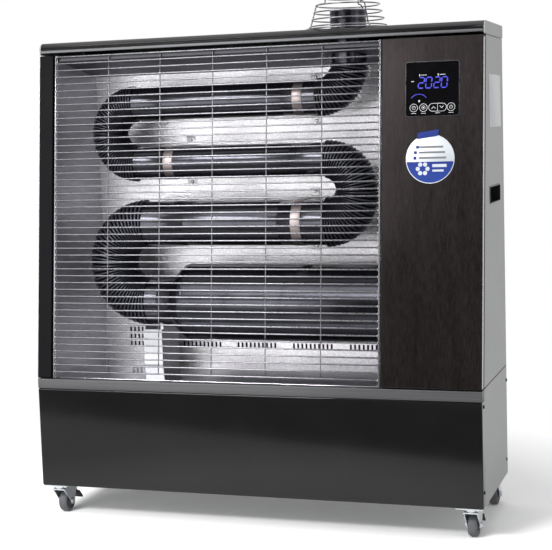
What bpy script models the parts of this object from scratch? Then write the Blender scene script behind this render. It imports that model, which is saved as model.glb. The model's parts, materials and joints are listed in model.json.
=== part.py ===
"""Diesel infrared heater: a free-standing cabinet on four castors.

Burner gas runs from the drum through three rows of steel tube to the stack, and the
hot tubes shine forward through the wire guard. Metres, Z up. Inside the script depths
run back from the lower front panel and heights run up from the floor.
"""
import math

import bmesh
import bpy
from mathutils import Matrix, Vector

# Sheet metal and clearances
SHEET = 0.0012
PLAY = 0.0003
OVERRUN = 0.005
WELD = 0.00001
SHARP_ANGLE = 40.0

# Cabinet
CABINET_WIDTH = 0.989
CABINET_DEPTH = 0.310
BASE_HEIGHT = 0.219
LEDGE_HEIGHT = 0.022
FRONT_RETURN = 0.027
SIDE_SEAM_RISE = 0.0015
DECK_DROP = 0.0090
DECK_FLANGE = 0.015
LEAN_BACK = 0.083
COLUMN_WIDTH = 0.0335
FRONT_PANEL_WIDTH = 0.2095
PANEL_RETURN = 0.016
PANEL_TOP_GAP = 0.001
GROOVE_WIDTH = 0.011
GROOVE_DEPTH = 0.004
JOGGLE_LAP = 0.006
EDGE_RADIUS = 0.0025
EDGE_SEGMENTS = 2
EDGE_POINTS = 4
LEDGE_RADIUS = 0.0020

# Lid
LID_HEIGHT = 0.027
LID_OVERHANG = 0.002
LID_SETBACK = 0.004
LID_REAR_SETBACK = 0.004
LID_FRONT_RADIUS = 0.016
LID_REAR_RADIUS = 0.005
LID_FRONT_POINTS = 6
LID_REAR_POINTS = 3
LID_FRONT_LIFT = 0.0105
END_CAP = 0.003
TRIM_HEIGHT = 0.0062
TRIM_DEPTH = 0.006
TRIM_PROUD = 0.0015
TRIM_RADIUS = 0.0012

# Side handles
HANDLE_LENGTH = 0.127
HANDLE_HEIGHT = 0.036
HANDLE_DEPTH = 0.027
HANDLE_PROUD = 0.0015
HANDLE_WALL = 0.0018
HANDLE_RADIUS = 0.004
HANDLE_ABOVE_LEDGE = 0.385

# Heating chamber
LINER_GAP = 0.006
LINER_SETBACK = 0.010
BULKHEAD_SETBACK = 0.020
REAR_GAP = 0.025
LINER_TOP_GAP = 0.003
HEADER_RISE = 0.030
HEADER_TOP_DROP = 0.0145
HEADER_FLANGE = 0.009
FLOOR_STEP_DEPTH = 0.139
FLOOR_STEP_RISE = 0.008
FLOOR_STEP_RUN = 0.0015
FLOOR_LAP = 0.012

# Vent slots at the foot of the reflector
SLOT_WIDTH = 0.0035
SLOT_HEIGHT = 0.015
SLOT_PITCH = 0.010
SLOTS_IN_GROUP = 10
SLOT_GROUPS = 4
SLOT_GROUP_PITCH = 0.135
SLOTS_FROM_LINER = 0.196
SLOTS_ABOVE_DECK = 0.0375
STACKED_SLOTS_FROM_LINER = 0.0605
STACKED_SLOT_HEIGHT = 0.0135
STACKED_SLOT_RISE = 0.017
STACKED_SLOT_COLUMNS = 4
STACKED_SLOT_ROWS = 3

# Wire guard
WIRE_COUNT = 47
WIRE_RADIUS = 0.00175
WIRE_SIDES = 6
WIRE_PLANE = 0.0035
FIRST_WIRE_RISE = 0.0170
LAST_WIRE_DROP = 0.0046
SIDE_BAR_RADIUS = 0.0025
SIDE_BAR_SIDES = 8
SIDE_BAR_GAP = 0.0005
STAY_COUNT = 5
STAY_RADIUS = 0.00125
FIRST_STAY_FROM_LINER = 0.126
LAST_STAY_FROM_BULKHEAD = 0.1284

# Heat exchanger
DRUM_RADIUS = 0.085
DRUM_CLEARANCE = 0.0771
DRUM_BACK_CLEARANCE = 0.028
DRUM_WALL = 0.002
DRUM_START = 0.262
DRUM_CONE = 0.0275
DRUM_SHOULDER = 0.0245
DRUM_SHOULDER_RADIUS = 0.060
DRUM_COLLAR = 0.010
DRUM_STEPS = 28
DRUM_TO_ROW_3 = 0.1762
ROW_3_TO_ROW_2 = 0.1361
ROW_2_TO_ROW_1 = 0.1320
ROW_1_TO_HEADER = 0.0690
TUBE_WALL = 0.0015
TUBE_STEPS = 24
ROW_1_RADIUS = 0.0365
ROW_3_RADIUS = 0.0500
RIB_HEIGHT = 0.0042
BEND_RIBS = 32
ELBOW_RIBS = 16
BORE_TURNS = 12
BORE_WALL = 0.003
UPPER_BEND_CLEARANCE = 0.044
LOWER_BEND_CLEARANCE = 0.027
RIGHT_BEND_CLEARANCE = 0.0283
ELBOW_RADIUS = 0.071
STACK_FROM_BULKHEAD = 0.0938
STACK_WALL = 0.0012
STACK_SLIDE = 0.0010
STACK_RISE = 0.041
STACK_HOLE_GAP = 0.0007

# Tube clamps and drum stand
CLAMP_WIDTH = 0.022
CLAMP_SHEET = 0.0012
CLAMP_FLANGE = 0.020
CLAMP_STEPS = 12
CLAMP_1_FROM_BULKHEAD = 0.2025
CLAMP_2_FROM_LINER = 0.2340
CLAMP_3_FROM_BULKHEAD = 0.2103
STAND_WIDTH = 0.046
STAND_LEFT = 0.016
STAND_FRONT = 0.022
STAND_LENGTH = 0.098
STAND_SHEET = 0.0015
STAND_SIDE_DROP = 0.050
STAND_FRONT_DROP = 0.062
STAND_NOTCH = 0.012

# Guard over the stack
CAGE_WIRE = 0.0015
CAGE_STEPS = 18
CAGE_SIDES = 5
CAGE_BASE_RADIUS = 0.0900
CAGE_FOOT_RADIUS = 0.0810
CAGE_FOOT_RISE = 0.0072
CAGE_SHOULDER_RADIUS = 0.068
CAGE_SHOULDER_RISE = 0.0517
CAGE_CONE_RINGS = 4
CAGE_NECK_RADIUS = 0.049
CAGE_NECK_RISE = 0.0560
CAGE_TOP_RISE = 0.075
CAGE_CORNER = 0.008
CAGE_SPOKES = 3
CAGE_FIRST_SPOKE = -43.0

# Control unit
CONTROL_WIDTH = 0.111
CONTROL_HEIGHT = 0.1115
CONTROL_DEPTH = 0.030
CONTROL_PROUD = 0.0008
CONTROL_WALL = 0.0012
CONTROL_CORNER = 0.005
CONTROL_FROM_SIDE = 0.048
CONTROL_FROM_TOP = 0.0510
GLASS_THICKNESS = 0.003
GLASS_SUNK = 0.0002
BOARD_THICKNESS = 0.0016
BOARD_SUNK = 0.012

# Burner
BLAST_TUBE_RADIUS = 0.040
BLAST_TUBE_REACH = 0.070
BLAST_HOLE_GAP = 0.0008
BURNER_WALL = 0.002
BURNER_FLANGE_RADIUS = 0.062
BURNER_FLANGE = 0.004
SCROLL_RADIUS = 0.080
SCROLL_WIDTH = 0.060
SCROLL_STANDOFF = 0.018
SCROLL_EYE = 0.030
BURNER_STEPS = 20
MOTOR_RADIUS = 0.042
MOTOR_LENGTH = 0.078
MOTOR_NOSE = 0.036
MOTOR_NOSE_LENGTH = 0.010
SHAFT_RADIUS = 0.004
SHAFT_REACH = 0.046
FAN_RADIUS = 0.062
FAN_HUB_RADIUS = 0.010
FAN_PLATE = 0.002
FAN_FROM_BACK = 0.006
FAN_BLADE_LENGTH = 0.020
FAN_BLADE_WIDTH = 0.036
FAN_BLADE_SHEET = 0.0012
FAN_BLADES = 12
PUMP_RADIUS = 0.019
PUMP_HEIGHT = 0.055
PUMP_BASE_RADIUS = 0.024
PUMP_BASE = 0.004
PUMP_NIPPLE_RADIUS = 0.005
PUMP_NIPPLE = 0.016
PUMP_FROM_BULKHEAD = 0.060
PUMP_DEPTH = 0.075

# Fuel tank, filler and cable inlet
TANK_SIDE_GAP = 0.030
TANK_LENGTH = 0.680
TANK_FRONT_GAP = 0.012
TANK_BACK_GAP = 0.038
TANK_HEIGHT = 0.165
TANK_RADIUS = 0.012
TANK_WALL = 0.0015
NECK_FROM_TANK_END = 0.085
NECK_DROP = 0.034
NECK_SUNK = 0.008
NECK_RADIUS = 0.021
NECK_BORE_RADIUS = 0.018
NECK_LENGTH = 0.042
NECK_TILT = 25.0
NECK_STEPS = 16
CAP_WALL = 0.0035
CAP_TOP = 0.004
CAP_SKIRT = 0.013
WINDOW_HALF_WIDTH = 0.036
WINDOW_BELOW_NECK = 0.040
WINDOW_ABOVE_NECK = 0.050
GLAND_RADIUS = 0.011
GLAND_LENGTH = 0.012
GLAND_NOSE_RADIUS = 0.0075
GLAND_NOSE = 0.008
GLAND_BORE = 0.0042
GLAND_THREAD_RADIUS = 0.008
GLAND_THREAD = 0.006
GLAND_FROM_SIDE = 0.090
GLAND_ABOVE_BASE = 0.045

# Rear cover vents
COVER_SLOT_LENGTH = 0.060
COVER_SLOT_WIDTH = 0.006
COVER_SLOT_PITCH = 0.018
COVER_SLOTS = 8
COVER_VENT_FROM_SIDE = 0.105
UPPER_VENT_DROP = 0.070
BURNER_VENT_RISE = 0.080
BASE_VENT_RISE = 0.095

# Castors
WHEEL_RADIUS = 0.025
WHEEL_WIDTH = 0.022
WHEEL_STEPS = 20
WHEEL_SHOULDER = 0.004
WHEEL_RIM_RADIUS = 0.0165
WHEEL_DISH = 0.0030
WHEEL_HUB_RADIUS = 0.0085
WHEEL_TO_CROWN = 0.0075
CROWN_SHEET = 0.0025
CROWN_LENGTH = 0.032
CROWN_LIP = 0.0005
LEG_SHEET = 0.0022
LEG_GAP = 0.0015
AXLE_RADIUS = 0.004
AXLE_HEAD_RADIUS = 0.0065
AXLE_HEAD = 0.0025
BOSS_RADIUS = 0.009
BOSS_POINTS = 7
TRAIL = 0.024
RACE_RADIUS = 0.019
RACE_FOOT_RADIUS = 0.016
RACE_HEIGHT = 0.009
RACE_LIP = 0.003
KING_PIN_RADIUS = 0.005
KING_PIN_HEAD_RADIUS = 0.008
KING_PIN_HEAD = 0.0025
PLATE_SIZE = 0.056
PLATE_THICKNESS = 0.0025
CASTOR_SIDE_INSET = 0.030
CASTOR_FRONT_INSET = 0.031
CASTOR_REAR_INSET = 0.028
PEDAL_PIVOT_BEHIND = 0.019
PEDAL_PIVOT_ABOVE = 0.0272
PEDAL_BARREL = 0.005
PEDAL_TIP_BEHIND = 0.048
PEDAL_TIP_BELOW = 0.0028
PEDAL_TIP_RADIUS = 0.0022
PEDAL_TIP_POINTS = 4
PEDAL_WIDTH = 0.018
PEDAL_FOOT_WIDTH = 0.030
PEDAL_FOOT_RADIUS = 0.0026
PEDAL_FOOT_SHARE = 0.5
PIN_STEPS = 10
PEDAL_PIN_RADIUS = 0.0019
EAR_LENGTH = 0.0065

# Levels and places that follow from the sizes above
HALF = CABINET_WIDTH / 2
AXLE_HEIGHT = WHEEL_RADIUS * math.cos(math.pi / WHEEL_STEPS)
CROWN_BOTTOM = AXLE_HEIGHT + WHEEL_RADIUS + WHEEL_TO_CROWN
CROWN_TOP = CROWN_BOTTOM + CROWN_SHEET
RACE_BOTTOM = CROWN_TOP + PLAY
PLATE_BOTTOM = RACE_BOTTOM + RACE_HEIGHT
BASE_BOTTOM = PLATE_BOTTOM + PLATE_THICKNESS + PLAY
LEDGE_BOTTOM = BASE_BOTTOM + BASE_HEIGHT
LEDGE_TOP = LEDGE_BOTTOM + LEDGE_HEIGHT
SIDE_SEAM = LEDGE_TOP + SIDE_SEAM_RISE
DECK_TOP = LEDGE_TOP - DECK_DROP
DRUM_LEVEL = DECK_TOP + DRUM_CLEARANCE + DRUM_RADIUS
ROW_3_LEVEL = DRUM_LEVEL + DRUM_TO_ROW_3
ROW_2_LEVEL = ROW_3_LEVEL + ROW_3_TO_ROW_2
ROW_1_LEVEL = ROW_2_LEVEL + ROW_2_TO_ROW_1
HEADER_LOW = ROW_1_LEVEL + ROW_1_TO_HEADER
HEADER_HIGH = HEADER_LOW + HEADER_RISE
UPPER_TOP = HEADER_HIGH + HEADER_TOP_DROP
LID_TOP = UPPER_TOP + LID_HEIGHT
UPPER_HEIGHT = UPPER_TOP - LEDGE_TOP
LEAN = math.atan2(LEAN_BACK, UPPER_HEIGHT)
SLOPE_LENGTH = math.hypot(LEAN_BACK, UPPER_HEIGHT)
COVER_FACE = CABINET_DEPTH - SHEET
REAR_EDGE = COVER_FACE - PLAY
INNER_FRONT = FRONT_RETURN + PLAY
REFLECTOR_FACE = CABINET_DEPTH - REAR_GAP
TUBE_DEPTH = REFLECTOR_FACE - DRUM_RADIUS - DRUM_BACK_CLEARANCE
CHAMBER_LEFT = -HALF + COLUMN_WIDTH + LINER_GAP
CHAMBER_RIGHT = HALF - FRONT_PANEL_WIDTH
STAY_SPAN = CHAMBER_RIGHT - CHAMBER_LEFT - FIRST_STAY_FROM_LINER - LAST_STAY_FROM_BULKHEAD
STAY_PITCH = STAY_SPAN / (STAY_COUNT - 1)
LIP_SETBACK = (PANEL_RETURN + GROOVE_WIDTH) / math.cos(LEAN)
LID_FRONT = LEAN_BACK + LID_SETBACK
LID_BACK = CABINET_DEPTH - LID_REAR_SETBACK
LID_END = HALF + LID_OVERHANG
CREST_1 = ROW_1_RADIUS + RIB_HEIGHT
CREST_3 = ROW_3_RADIUS + RIB_HEIGHT
UPPER_BEND_RADIUS = ROW_2_TO_ROW_1 / 2
RIGHT_BEND_RADIUS = ROW_3_TO_ROW_2 / 2
LOWER_BEND_RADIUS = DRUM_TO_ROW_3 / 2
UPPER_BEND_X = CHAMBER_LEFT + UPPER_BEND_CLEARANCE + CREST_1 + UPPER_BEND_RADIUS
LOWER_BEND_X = CHAMBER_LEFT + LOWER_BEND_CLEARANCE + CREST_3 + LOWER_BEND_RADIUS
RIGHT_BEND_X = CHAMBER_RIGHT - RIGHT_BEND_CLEARANCE - CREST_3 - RIGHT_BEND_RADIUS
STACK_X = CHAMBER_RIGHT - STACK_FROM_BULKHEAD
ELBOW_X = STACK_X - ELBOW_RADIUS
CUFF_1 = 2 * ROW_1_RADIUS
CUFF_3 = 2 * ROW_3_RADIUS
DRUM_CUFF = CHAMBER_LEFT + DRUM_START - DRUM_CONE - LOWER_BEND_X
STACK_BORE = ROW_1_RADIUS + STACK_SLIDE
STACK_RADIUS = STACK_BORE + STACK_WALL
STACK_TOP = LID_TOP + STACK_RISE
REAR_CASTOR_DEPTH = CABINET_DEPTH - CASTOR_REAR_INSET
OVERALL_DEPTH = REAR_CASTOR_DEPTH + TRAIL + AXLE_HEIGHT
LEG_INSIDE = WHEEL_WIDTH / 2 + LEG_GAP
LEG_OUTSIDE = LEG_INSIDE + LEG_SHEET

# Frames: which way a flat drawing or a turned axis lies on the heater
SECTION = Matrix(((0, 0, 1, 0), (1, 0, 0, 0), (0, 1, 0, 0), (0, 0, 0, 1)))
FACING_FRONT = Matrix.Rotation(math.pi / 2, 4, "X")
AXIS_ALONG_X = Matrix.Rotation(math.pi / 2, 4, "Y")
AXIS_TO_BACK = Matrix.Rotation(-math.pi / 2, 4, "X")
LEANING = Matrix.Translation((0, 0, LEDGE_TOP)) @ Matrix.Rotation(-LEAN, 4, "X")


def clear_scene():
    """Remove every object of the startup scene."""
    for thing in list(bpy.data.objects):
        bpy.data.objects.remove(thing, do_unlink=True)


def new_collection(name):
    """A collection linked to the scene."""
    group = bpy.data.collections.new(name)
    bpy.context.scene.collection.children.link(group)
    return group


clear_scene()
PARTS = new_collection("diesel_infrared_heater")
CUTTERS = new_collection("cutters")
ORIGIN = bpy.data.objects.new("heater_origin", None)
ORIGIN.location = (0, -OVERALL_DEPTH / 2, 0)
PARTS.objects.link(ORIGIN)


def linear(channel):
    """One sRGB channel from 0 to 1 as linear light."""
    return channel / 12.92 if channel <= 0.04045 else ((channel + 0.055) / 1.055) ** 2.4


def finish(name, colour, roughness, metallic):
    """A plain surface finish: sRGB hex colour, roughness and metallic value."""
    surface = bpy.data.materials.new(name)
    surface.use_nodes = True
    shader = surface.node_tree.nodes["Principled BSDF"]
    channels = [linear(int(colour[i:i + 2], 16) / 255) for i in (0, 2, 4)]
    shader.inputs["Base Color"].default_value = (*channels, 1)
    shader.inputs["Roughness"].default_value = roughness
    shader.inputs["Metallic"].default_value = metallic
    return surface


GLOSS_BLACK = finish("gloss_black_paint", "17171A", 0.18, 0.0)
COLUMN_GREY = finish("dark_grey_paint", "2C2B2D", 0.45, 0.0)
BROWN_HAIRLINE = finish("brown_hairline_film", "2B2524", 0.32, 0.3)
SILVER_PAINT = finish("silver_grey_paint", "9B9C9C", 0.5, 0.3)
BRUSHED_STEEL = finish("brushed_stainless", "8A8A8A", 0.3, 1.0)
CHROME = finish("chromed_wire", "D5D5D8", 0.12, 1.0)
LINER_STEEL = finish("satin_stainless", "9A9A9C", 0.35, 1.0)
STUCCO = finish("stucco_aluminium", "DCDCDE", 0.3, 1.0)
DARK_STEEL = finish("dark_header_steel", "3A393E", 0.3, 0.9)
HOT_STEEL = finish("blued_tube_steel", "23222A", 0.28, 0.8)
RIBBED_BLACK = finish("matt_black_bend", "101014", 0.5, 0.3)
STRAP_STEEL = finish("heat_tinted_strap", "C9A596", 0.25, 1.0)
GALVANISED = finish("zinc_plated_sheet", "B4B7B9", 0.4, 0.9)
BLACK_GLASS = finish("black_glass", "060608", 0.06, 0.0)
CIRCUIT_GREEN = finish("circuit_board", "1E5A34", 0.5, 0.0)
CAST_ALUMINIUM = finish("cast_aluminium", "A0A3A6", 0.45, 1.0)
MOTOR_BLACK = finish("motor_black", "1B1B1D", 0.4, 0.4)
TANK_GREY = finish("tank_grey_paint", "55585B", 0.5, 0.2)
CAP_BLACK = finish("moulded_black", "141416", 0.45, 0.0)
CAP_RED = finish("red_filler_cap", "A3201C", 0.4, 0.0)
BRASS = finish("brass", "B58F4A", 0.3, 1.0)
ZINC = finish("bright_zinc", "C3C6CA", 0.25, 1.0)
RUBBER = finish("grey_black_rubber", "3B3B3D", 0.65, 0.0)


def adopt(name, data, surface, frame=Matrix.Identity(4)):
    """A new object in the heater, standing in the given frame under the origin."""
    thing = bpy.data.objects.new(name, data)
    PARTS.objects.link(thing)
    thing.parent = ORIGIN
    thing.matrix_local = frame
    data.materials.append(surface)
    return thing


def place(x=0, depth=0, height=0):
    """A frame moved to a point."""
    return Matrix.Translation((x, depth, height))


def arc(centre, radius, first, last, count):
    """Points on an arc from one angle to another in degrees, both ends included."""
    angles = [math.radians(first + (last - first) * i / (count - 1)) for i in range(count)]
    return [(centre[0] + radius * math.cos(a), centre[1] + radius * math.sin(a)) for a in angles]


def circle(centre, radius, count):
    """Points evenly round a circle."""
    return arc(centre, radius, 0, 360, count + 1)[:-1]


def rectangle(low, high):
    """The four corners of a rectangle."""
    return [low, (high[0], low[1]), high, (low[0], high[1])]


def rounded_rectangle(low, high, radius, count=EDGE_POINTS):
    """A rectangle with an arc at each corner."""
    left, bottom = low[0] + radius, low[1] + radius
    right, top = high[0] - radius, high[1] - radius
    points = arc((right, top), radius, 0, 90, count)
    points += arc((left, top), radius, 90, 180, count)
    points += arc((left, bottom), radius, 180, 270, count)
    return points + arc((right, bottom), radius, 270, 360, count)


def set_aside(tool):
    """Turn an object into a cutter, which the model itself leaves out."""
    PARTS.objects.unlink(tool)
    CUTTERS.objects.link(tool)
    tool.hide_render = True
    tool.display_type = "WIRE"


def combine(target, tool, operation):
    """Cut the tool out of the target, or fuse the two."""
    set_aside(tool)
    change = target.modifiers.new(operation.lower(), "BOOLEAN")
    change.operation = operation
    change.object = tool
    return target


def cut(target, tool):
    """Take the tool's shape out of the target."""
    return combine(target, tool, "DIFFERENCE")


def fuse(target, tool):
    """Make one body of the target and the tool."""
    return combine(target, tool, "UNION")


def cube_between(shape, low, high):
    """A cube in a bmesh, fitted between two opposite corners."""
    made = bmesh.ops.create_cube(shape, size=1)["verts"]
    size = [b - a for a, b in zip(low, high)]
    middle = [(a + b) / 2 for a, b in zip(low, high)]
    fit = Matrix.Translation(middle) @ Matrix.Diagonal((*size, 1))
    bmesh.ops.transform(shape, matrix=fit, verts=made)
    return made


def round_edges(shape, edges, radius):
    """Round some edges of a bmesh."""
    bmesh.ops.bevel(shape, geom=edges, offset=radius, segments=EDGE_SEGMENTS, profile=0.5, affect="EDGES")


def from_bmesh(name, shape, surface, frame=Matrix.Identity(4)):
    """An object from a finished bmesh."""
    mesh = bpy.data.meshes.new(name)
    shape.to_mesh(mesh)
    shape.free()
    return adopt(name, mesh, surface, frame)


def block(name, low, high, surface, frame=Matrix.Identity(4), radius=0):
    """A solid block, its edges rounded if a radius is given."""
    shape = bmesh.new()
    cube_between(shape, low, high)
    if radius:
        round_edges(shape, shape.edges[:], radius)
    return from_bmesh(name, shape, surface, frame)


def faces_towards(shape, side):
    """The faces of a bmesh that look along a direction."""
    shape.normal_update()
    return [face for face in shape.faces if face.normal.dot(side) > 0.99]


def pan(name, low, high, surface, open_side, frame=Matrix.Identity(4), radius=0, wall=SHEET, along=None):
    """A folded sheet pan, open on one side; its edges are rounded all over or along one axis."""
    shape = bmesh.new()
    cube_between(shape, low, high)
    side = Vector(open_side)
    lid = faces_towards(shape, side)
    edges = [edge for edge in shape.edges if not set(edge.link_faces) & set(lid)]
    if along is not None:
        ways = [(edge, (edge.verts[1].co - edge.verts[0].co).normalized()) for edge in shape.edges]
        edges = [edge for edge, way in ways if abs(way[along]) > 0.99]
    if radius:
        round_edges(shape, edges, radius)
    bmesh.ops.delete(shape, geom=faces_towards(shape, side), context="FACES")
    thing = from_bmesh(name, shape, surface, frame)
    shell = thing.modifiers.new("wall", "SOLIDIFY")
    shell.thickness = wall
    shell.offset = -1
    shell.use_even_offset = True
    return thing


def bent_sheet(name, path, start, end, surface, frame, wall=SHEET, skin_inside=False):
    """A strip of sheet folded along a path and as long as from start to end.

    The path is the outer skin with the metal on its left, or the inner skin with the
    metal on its right.
    """
    shape = bmesh.new()
    verts = [shape.verts.new((u, v, start)) for u, v in path]
    edges = [shape.edges.new(pair) for pair in zip(verts, verts[1:])]
    made = bmesh.ops.extrude_edge_only(shape, edges=edges)["geom"]
    moved = [item for item in made if isinstance(item, bmesh.types.BMVert)]
    bmesh.ops.translate(shape, vec=(0, 0, end - start), verts=moved)
    shape.normal_update()
    along = verts[1].co - verts[0].co
    if verts[0].link_faces[0].normal.dot(along.cross(Vector((0, 0, 1)))) < 0:
        bmesh.ops.reverse_faces(shape, faces=shape.faces[:])
    thing = from_bmesh(name, shape, surface, frame)
    shell = thing.modifiers.new("wall", "SOLIDIFY")
    shell.thickness = wall
    shell.offset = 1 if skin_inside else -1
    shell.use_even_offset = True
    return thing


def outline(name, loops, start, end, surface, frame):
    """A flat plate from its outline and any holes, as thick as from start to end."""
    curve = bpy.data.curves.new(name, "CURVE")
    curve.dimensions = "2D"
    curve.fill_mode = "BOTH"
    curve.extrude = (end - start) / 2
    for loop in loops:
        spline = curve.splines.new("POLY")
        spline.points.add(len(loop) - 1)
        for point, (u, v) in zip(spline.points, loop):
            point.co = (u, v, 0, 1)
        spline.use_cyclic_u = True
    return adopt(name, curve, surface, frame @ place(height=(start + end) / 2))


def turned(name, profile, steps, surface, frame=Matrix.Identity(4), ring=False):
    """A turned piece: (radius, height) points, down the outer side, spun round Z.

    A ring's profile closes on itself and so leaves a bore.
    """
    mesh = bpy.data.meshes.new(name)
    last = len(profile) - 1
    edges = [(i, i + 1) for i in range(last)]
    if ring:
        edges.append((last, 0))
    mesh.from_pydata([(radius, 0, height) for radius, height in profile], edges, [])
    thing = adopt(name, mesh, surface, frame)
    spin = thing.modifiers.new("spin", "SCREW")
    spin.steps = steps
    spin.render_steps = steps
    spin.use_merge_vertices = True
    spin.merge_threshold = WELD
    spin.use_smooth_shade = True
    return thing


def rod(name, radius, start, end, steps, surface, frame):
    """A plain round rod along its frame's Z axis."""
    profile = [(0, end), (radius, end), (radius, start), (0, start)]
    return turned(name, profile, steps, surface, frame)


def swept(name, points, radius, surface, resolution, radii=None):
    """A round wire or tube along points, with filled ends, as a welded mesh."""
    curve = bpy.data.curves.new(name, "CURVE")
    curve.dimensions = "3D"
    curve.bevel_depth = radius
    curve.bevel_resolution = resolution
    curve.use_fill_caps = True
    spline = curve.splines.new("POLY")
    spline.points.add(len(points) - 1)
    for point, where, size in zip(spline.points, points, radii or [radius] * len(points)):
        point.co = (*where, 1)
        point.radius = size / radius
    return as_mesh(adopt(name, curve, surface))


def as_mesh(thing):
    """The same shape as a plain mesh, its loose caps welded on."""
    graph = bpy.context.evaluated_depsgraph_get()
    mesh = bpy.data.meshes.new_from_object(thing.evaluated_get(graph))
    shape = bmesh.new()
    shape.from_mesh(mesh)
    bmesh.ops.remove_doubles(shape, verts=shape.verts, dist=WELD)
    shape.to_mesh(mesh)
    shape.free()
    mesh.shade_smooth()
    mesh.set_sharp_from_angle(angle=math.radians(SHARP_ANGLE))
    name, frame = thing.name, thing.matrix_local.copy()
    bpy.data.objects.remove(thing, do_unlink=True)
    solid = bpy.data.objects.new(name, mesh)
    PARTS.objects.link(solid)
    solid.parent = ORIGIN
    solid.matrix_local = frame
    return solid


def lean_depth(level):
    """How far back the leaning front stands at a height."""
    return LEAN_BACK * (level - LEDGE_TOP) / UPPER_HEIGHT


def leaning_foot(depth):
    """Where a piece this deep starts up the slope to clear the ledge."""
    return (depth * math.sin(LEAN) + PLAY) / math.cos(LEAN)


def base_tub():
    """Floor and both sides of the base, folded from one sheet."""
    path = [(-HALF, SIDE_SEAM), (-HALF, BASE_BOTTOM), (HALF, BASE_BOTTOM), (HALF, SIDE_SEAM)]
    bent_sheet("base_tub", path, -REAR_EDGE, -INNER_FRONT, SILVER_PAINT, FACING_FRONT)


def lower_front_panel():
    """Glossy panel across the base, returned round both ends."""
    low = (-HALF, 0, BASE_BOTTOM)
    high = (HALF, FRONT_RETURN, LEDGE_BOTTOM - PLAY)
    pan("lower_front_panel", low, high, GLOSS_BLACK, (0, 1, 0), radius=EDGE_RADIUS)


def waist_ledge():
    """Stainless rail between the base and the leaning front."""
    low = (-HALF, 0, LEDGE_BOTTOM)
    high = (HALF, FRONT_RETURN, LEDGE_TOP)
    pan("waist_ledge", low, high, BRUSHED_STEEL, (0, 1, 0), radius=LEDGE_RADIUS)


def mid_deck():
    """Shelf that carries the chamber and the burner, its flanges folded down."""
    side = HALF - SHEET - PLAY
    low = (-side, INNER_FRONT, DECK_TOP - DECK_FLANGE)
    pan("mid_deck", low, (side, REAR_EDGE, DECK_TOP), GALVANISED, (0, 0, -1))


def handle_span():
    """Depth and height range of a side handle, at the middle of its side panel."""
    level = LEDGE_TOP + HANDLE_ABOVE_LEDGE
    middle = (lean_depth(level) + LIP_SETBACK + REAR_EDGE) / 2
    low = (middle - HANDLE_LENGTH / 2, level - HANDLE_HEIGHT / 2)
    return low, (middle + HANDLE_LENGTH / 2, level + HANDLE_HEIGHT / 2)


def side_panel(name, side):
    """Upper side panel: its front edge leans, and a joggled lip runs under the front's return."""
    bottom = SIDE_SEAM + PLAY
    top = UPPER_TOP - PLAY
    shape = [(lean_depth(bottom) + LIP_SETBACK, bottom), (REAR_EDGE, bottom), (REAR_EDGE, top),
             (lean_depth(top) + LIP_SETBACK, top)]
    low, high = handle_span()
    low = [value - PLAY for value in low]
    high = [value + PLAY for value in high]
    hole = rounded_rectangle(low, high, HANDLE_RADIUS)
    faces = sorted((side * HALF, side * (HALF - SHEET)))
    panel = as_mesh(outline(name, [shape, hole], *faces, SILVER_PAINT, SECTION))
    lip_x = HALF - GROOVE_DEPTH
    start = PANEL_RETURN + GROOVE_WIDTH
    path = [(side * (HALF - SHEET / 2), start + JOGGLE_LAP), (side * (HALF - SHEET / 2), start + SHEET / 2),
            (side * lip_x, start + SHEET / 2), (side * lip_x, PANEL_RETURN - JOGGLE_LAP)]
    foot = leaning_foot(start + JOGGLE_LAP) + SIDE_SEAM_RISE + PLAY
    crest = SLOPE_LENGTH - PANEL_TOP_GAP - SHEET - PLAY
    lip = bent_sheet(name + "_lip", path, foot, crest, SILVER_PAINT, LEANING,
                     wall=SHEET / 2, skin_inside=side > 0)
    fuse(panel, lip)


def left_column():
    """Dark post on the left of the guard."""
    low = (-HALF, 0, leaning_foot(PANEL_RETURN))
    high = (-HALF + COLUMN_WIDTH, PANEL_RETURN, SLOPE_LENGTH - PANEL_TOP_GAP)
    pan("left_column", low, high, COLUMN_GREY, (0, 1, 0), LEANING, EDGE_RADIUS)


def control_span():
    """Corners of the control unit on the leaning front."""
    right = HALF - CONTROL_FROM_SIDE
    top = SLOPE_LENGTH - CONTROL_FROM_TOP
    return (right - CONTROL_WIDTH, top - CONTROL_HEIGHT), (right, top)


def right_front_panel():
    """Brown front of the burner side, with the window for the control unit."""
    low = (HALF - FRONT_PANEL_WIDTH, 0, leaning_foot(PANEL_RETURN))
    high = (HALF, PANEL_RETURN, SLOPE_LENGTH - PANEL_TOP_GAP)
    panel = pan("right_front_panel", low, high, BROWN_HAIRLINE, (0, 1, 0), LEANING, EDGE_RADIUS)
    (x0, z0), (x1, z1) = control_span()
    hole = rounded_rectangle((x0 - PLAY, z0 - PLAY), (x1 + PLAY, z1 + PLAY), CONTROL_CORNER + PLAY)
    frame = LEANING @ FACING_FRONT
    cut(panel, as_mesh(outline("control_window", [hole], -OVERRUN, OVERRUN, BROWN_HAIRLINE, frame)))


def vent_rows():
    """Slots of the rear cover, in three stacks behind the parts that need air."""
    half = COVER_SLOT_LENGTH / 2
    burner = HALF - COVER_VENT_FROM_SIDE
    rows = [(burner, BASE_BOTTOM + BASE_VENT_RISE, COVER_SLOTS // 2),
            (burner, DECK_TOP + BURNER_VENT_RISE, COVER_SLOTS),
            (burner, UPPER_TOP - UPPER_VENT_DROP - COVER_SLOT_PITCH * COVER_SLOTS / 2, COVER_SLOTS // 2),
            (-burner, UPPER_TOP - UPPER_VENT_DROP - COVER_SLOT_PITCH * COVER_SLOTS / 2, COVER_SLOTS // 2)]
    for middle, level, count in rows:
        for i in range(count):
            z = level + COVER_SLOT_PITCH * i
            yield rectangle((middle - half, z), (middle + half, z + COVER_SLOT_WIDTH))


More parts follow.
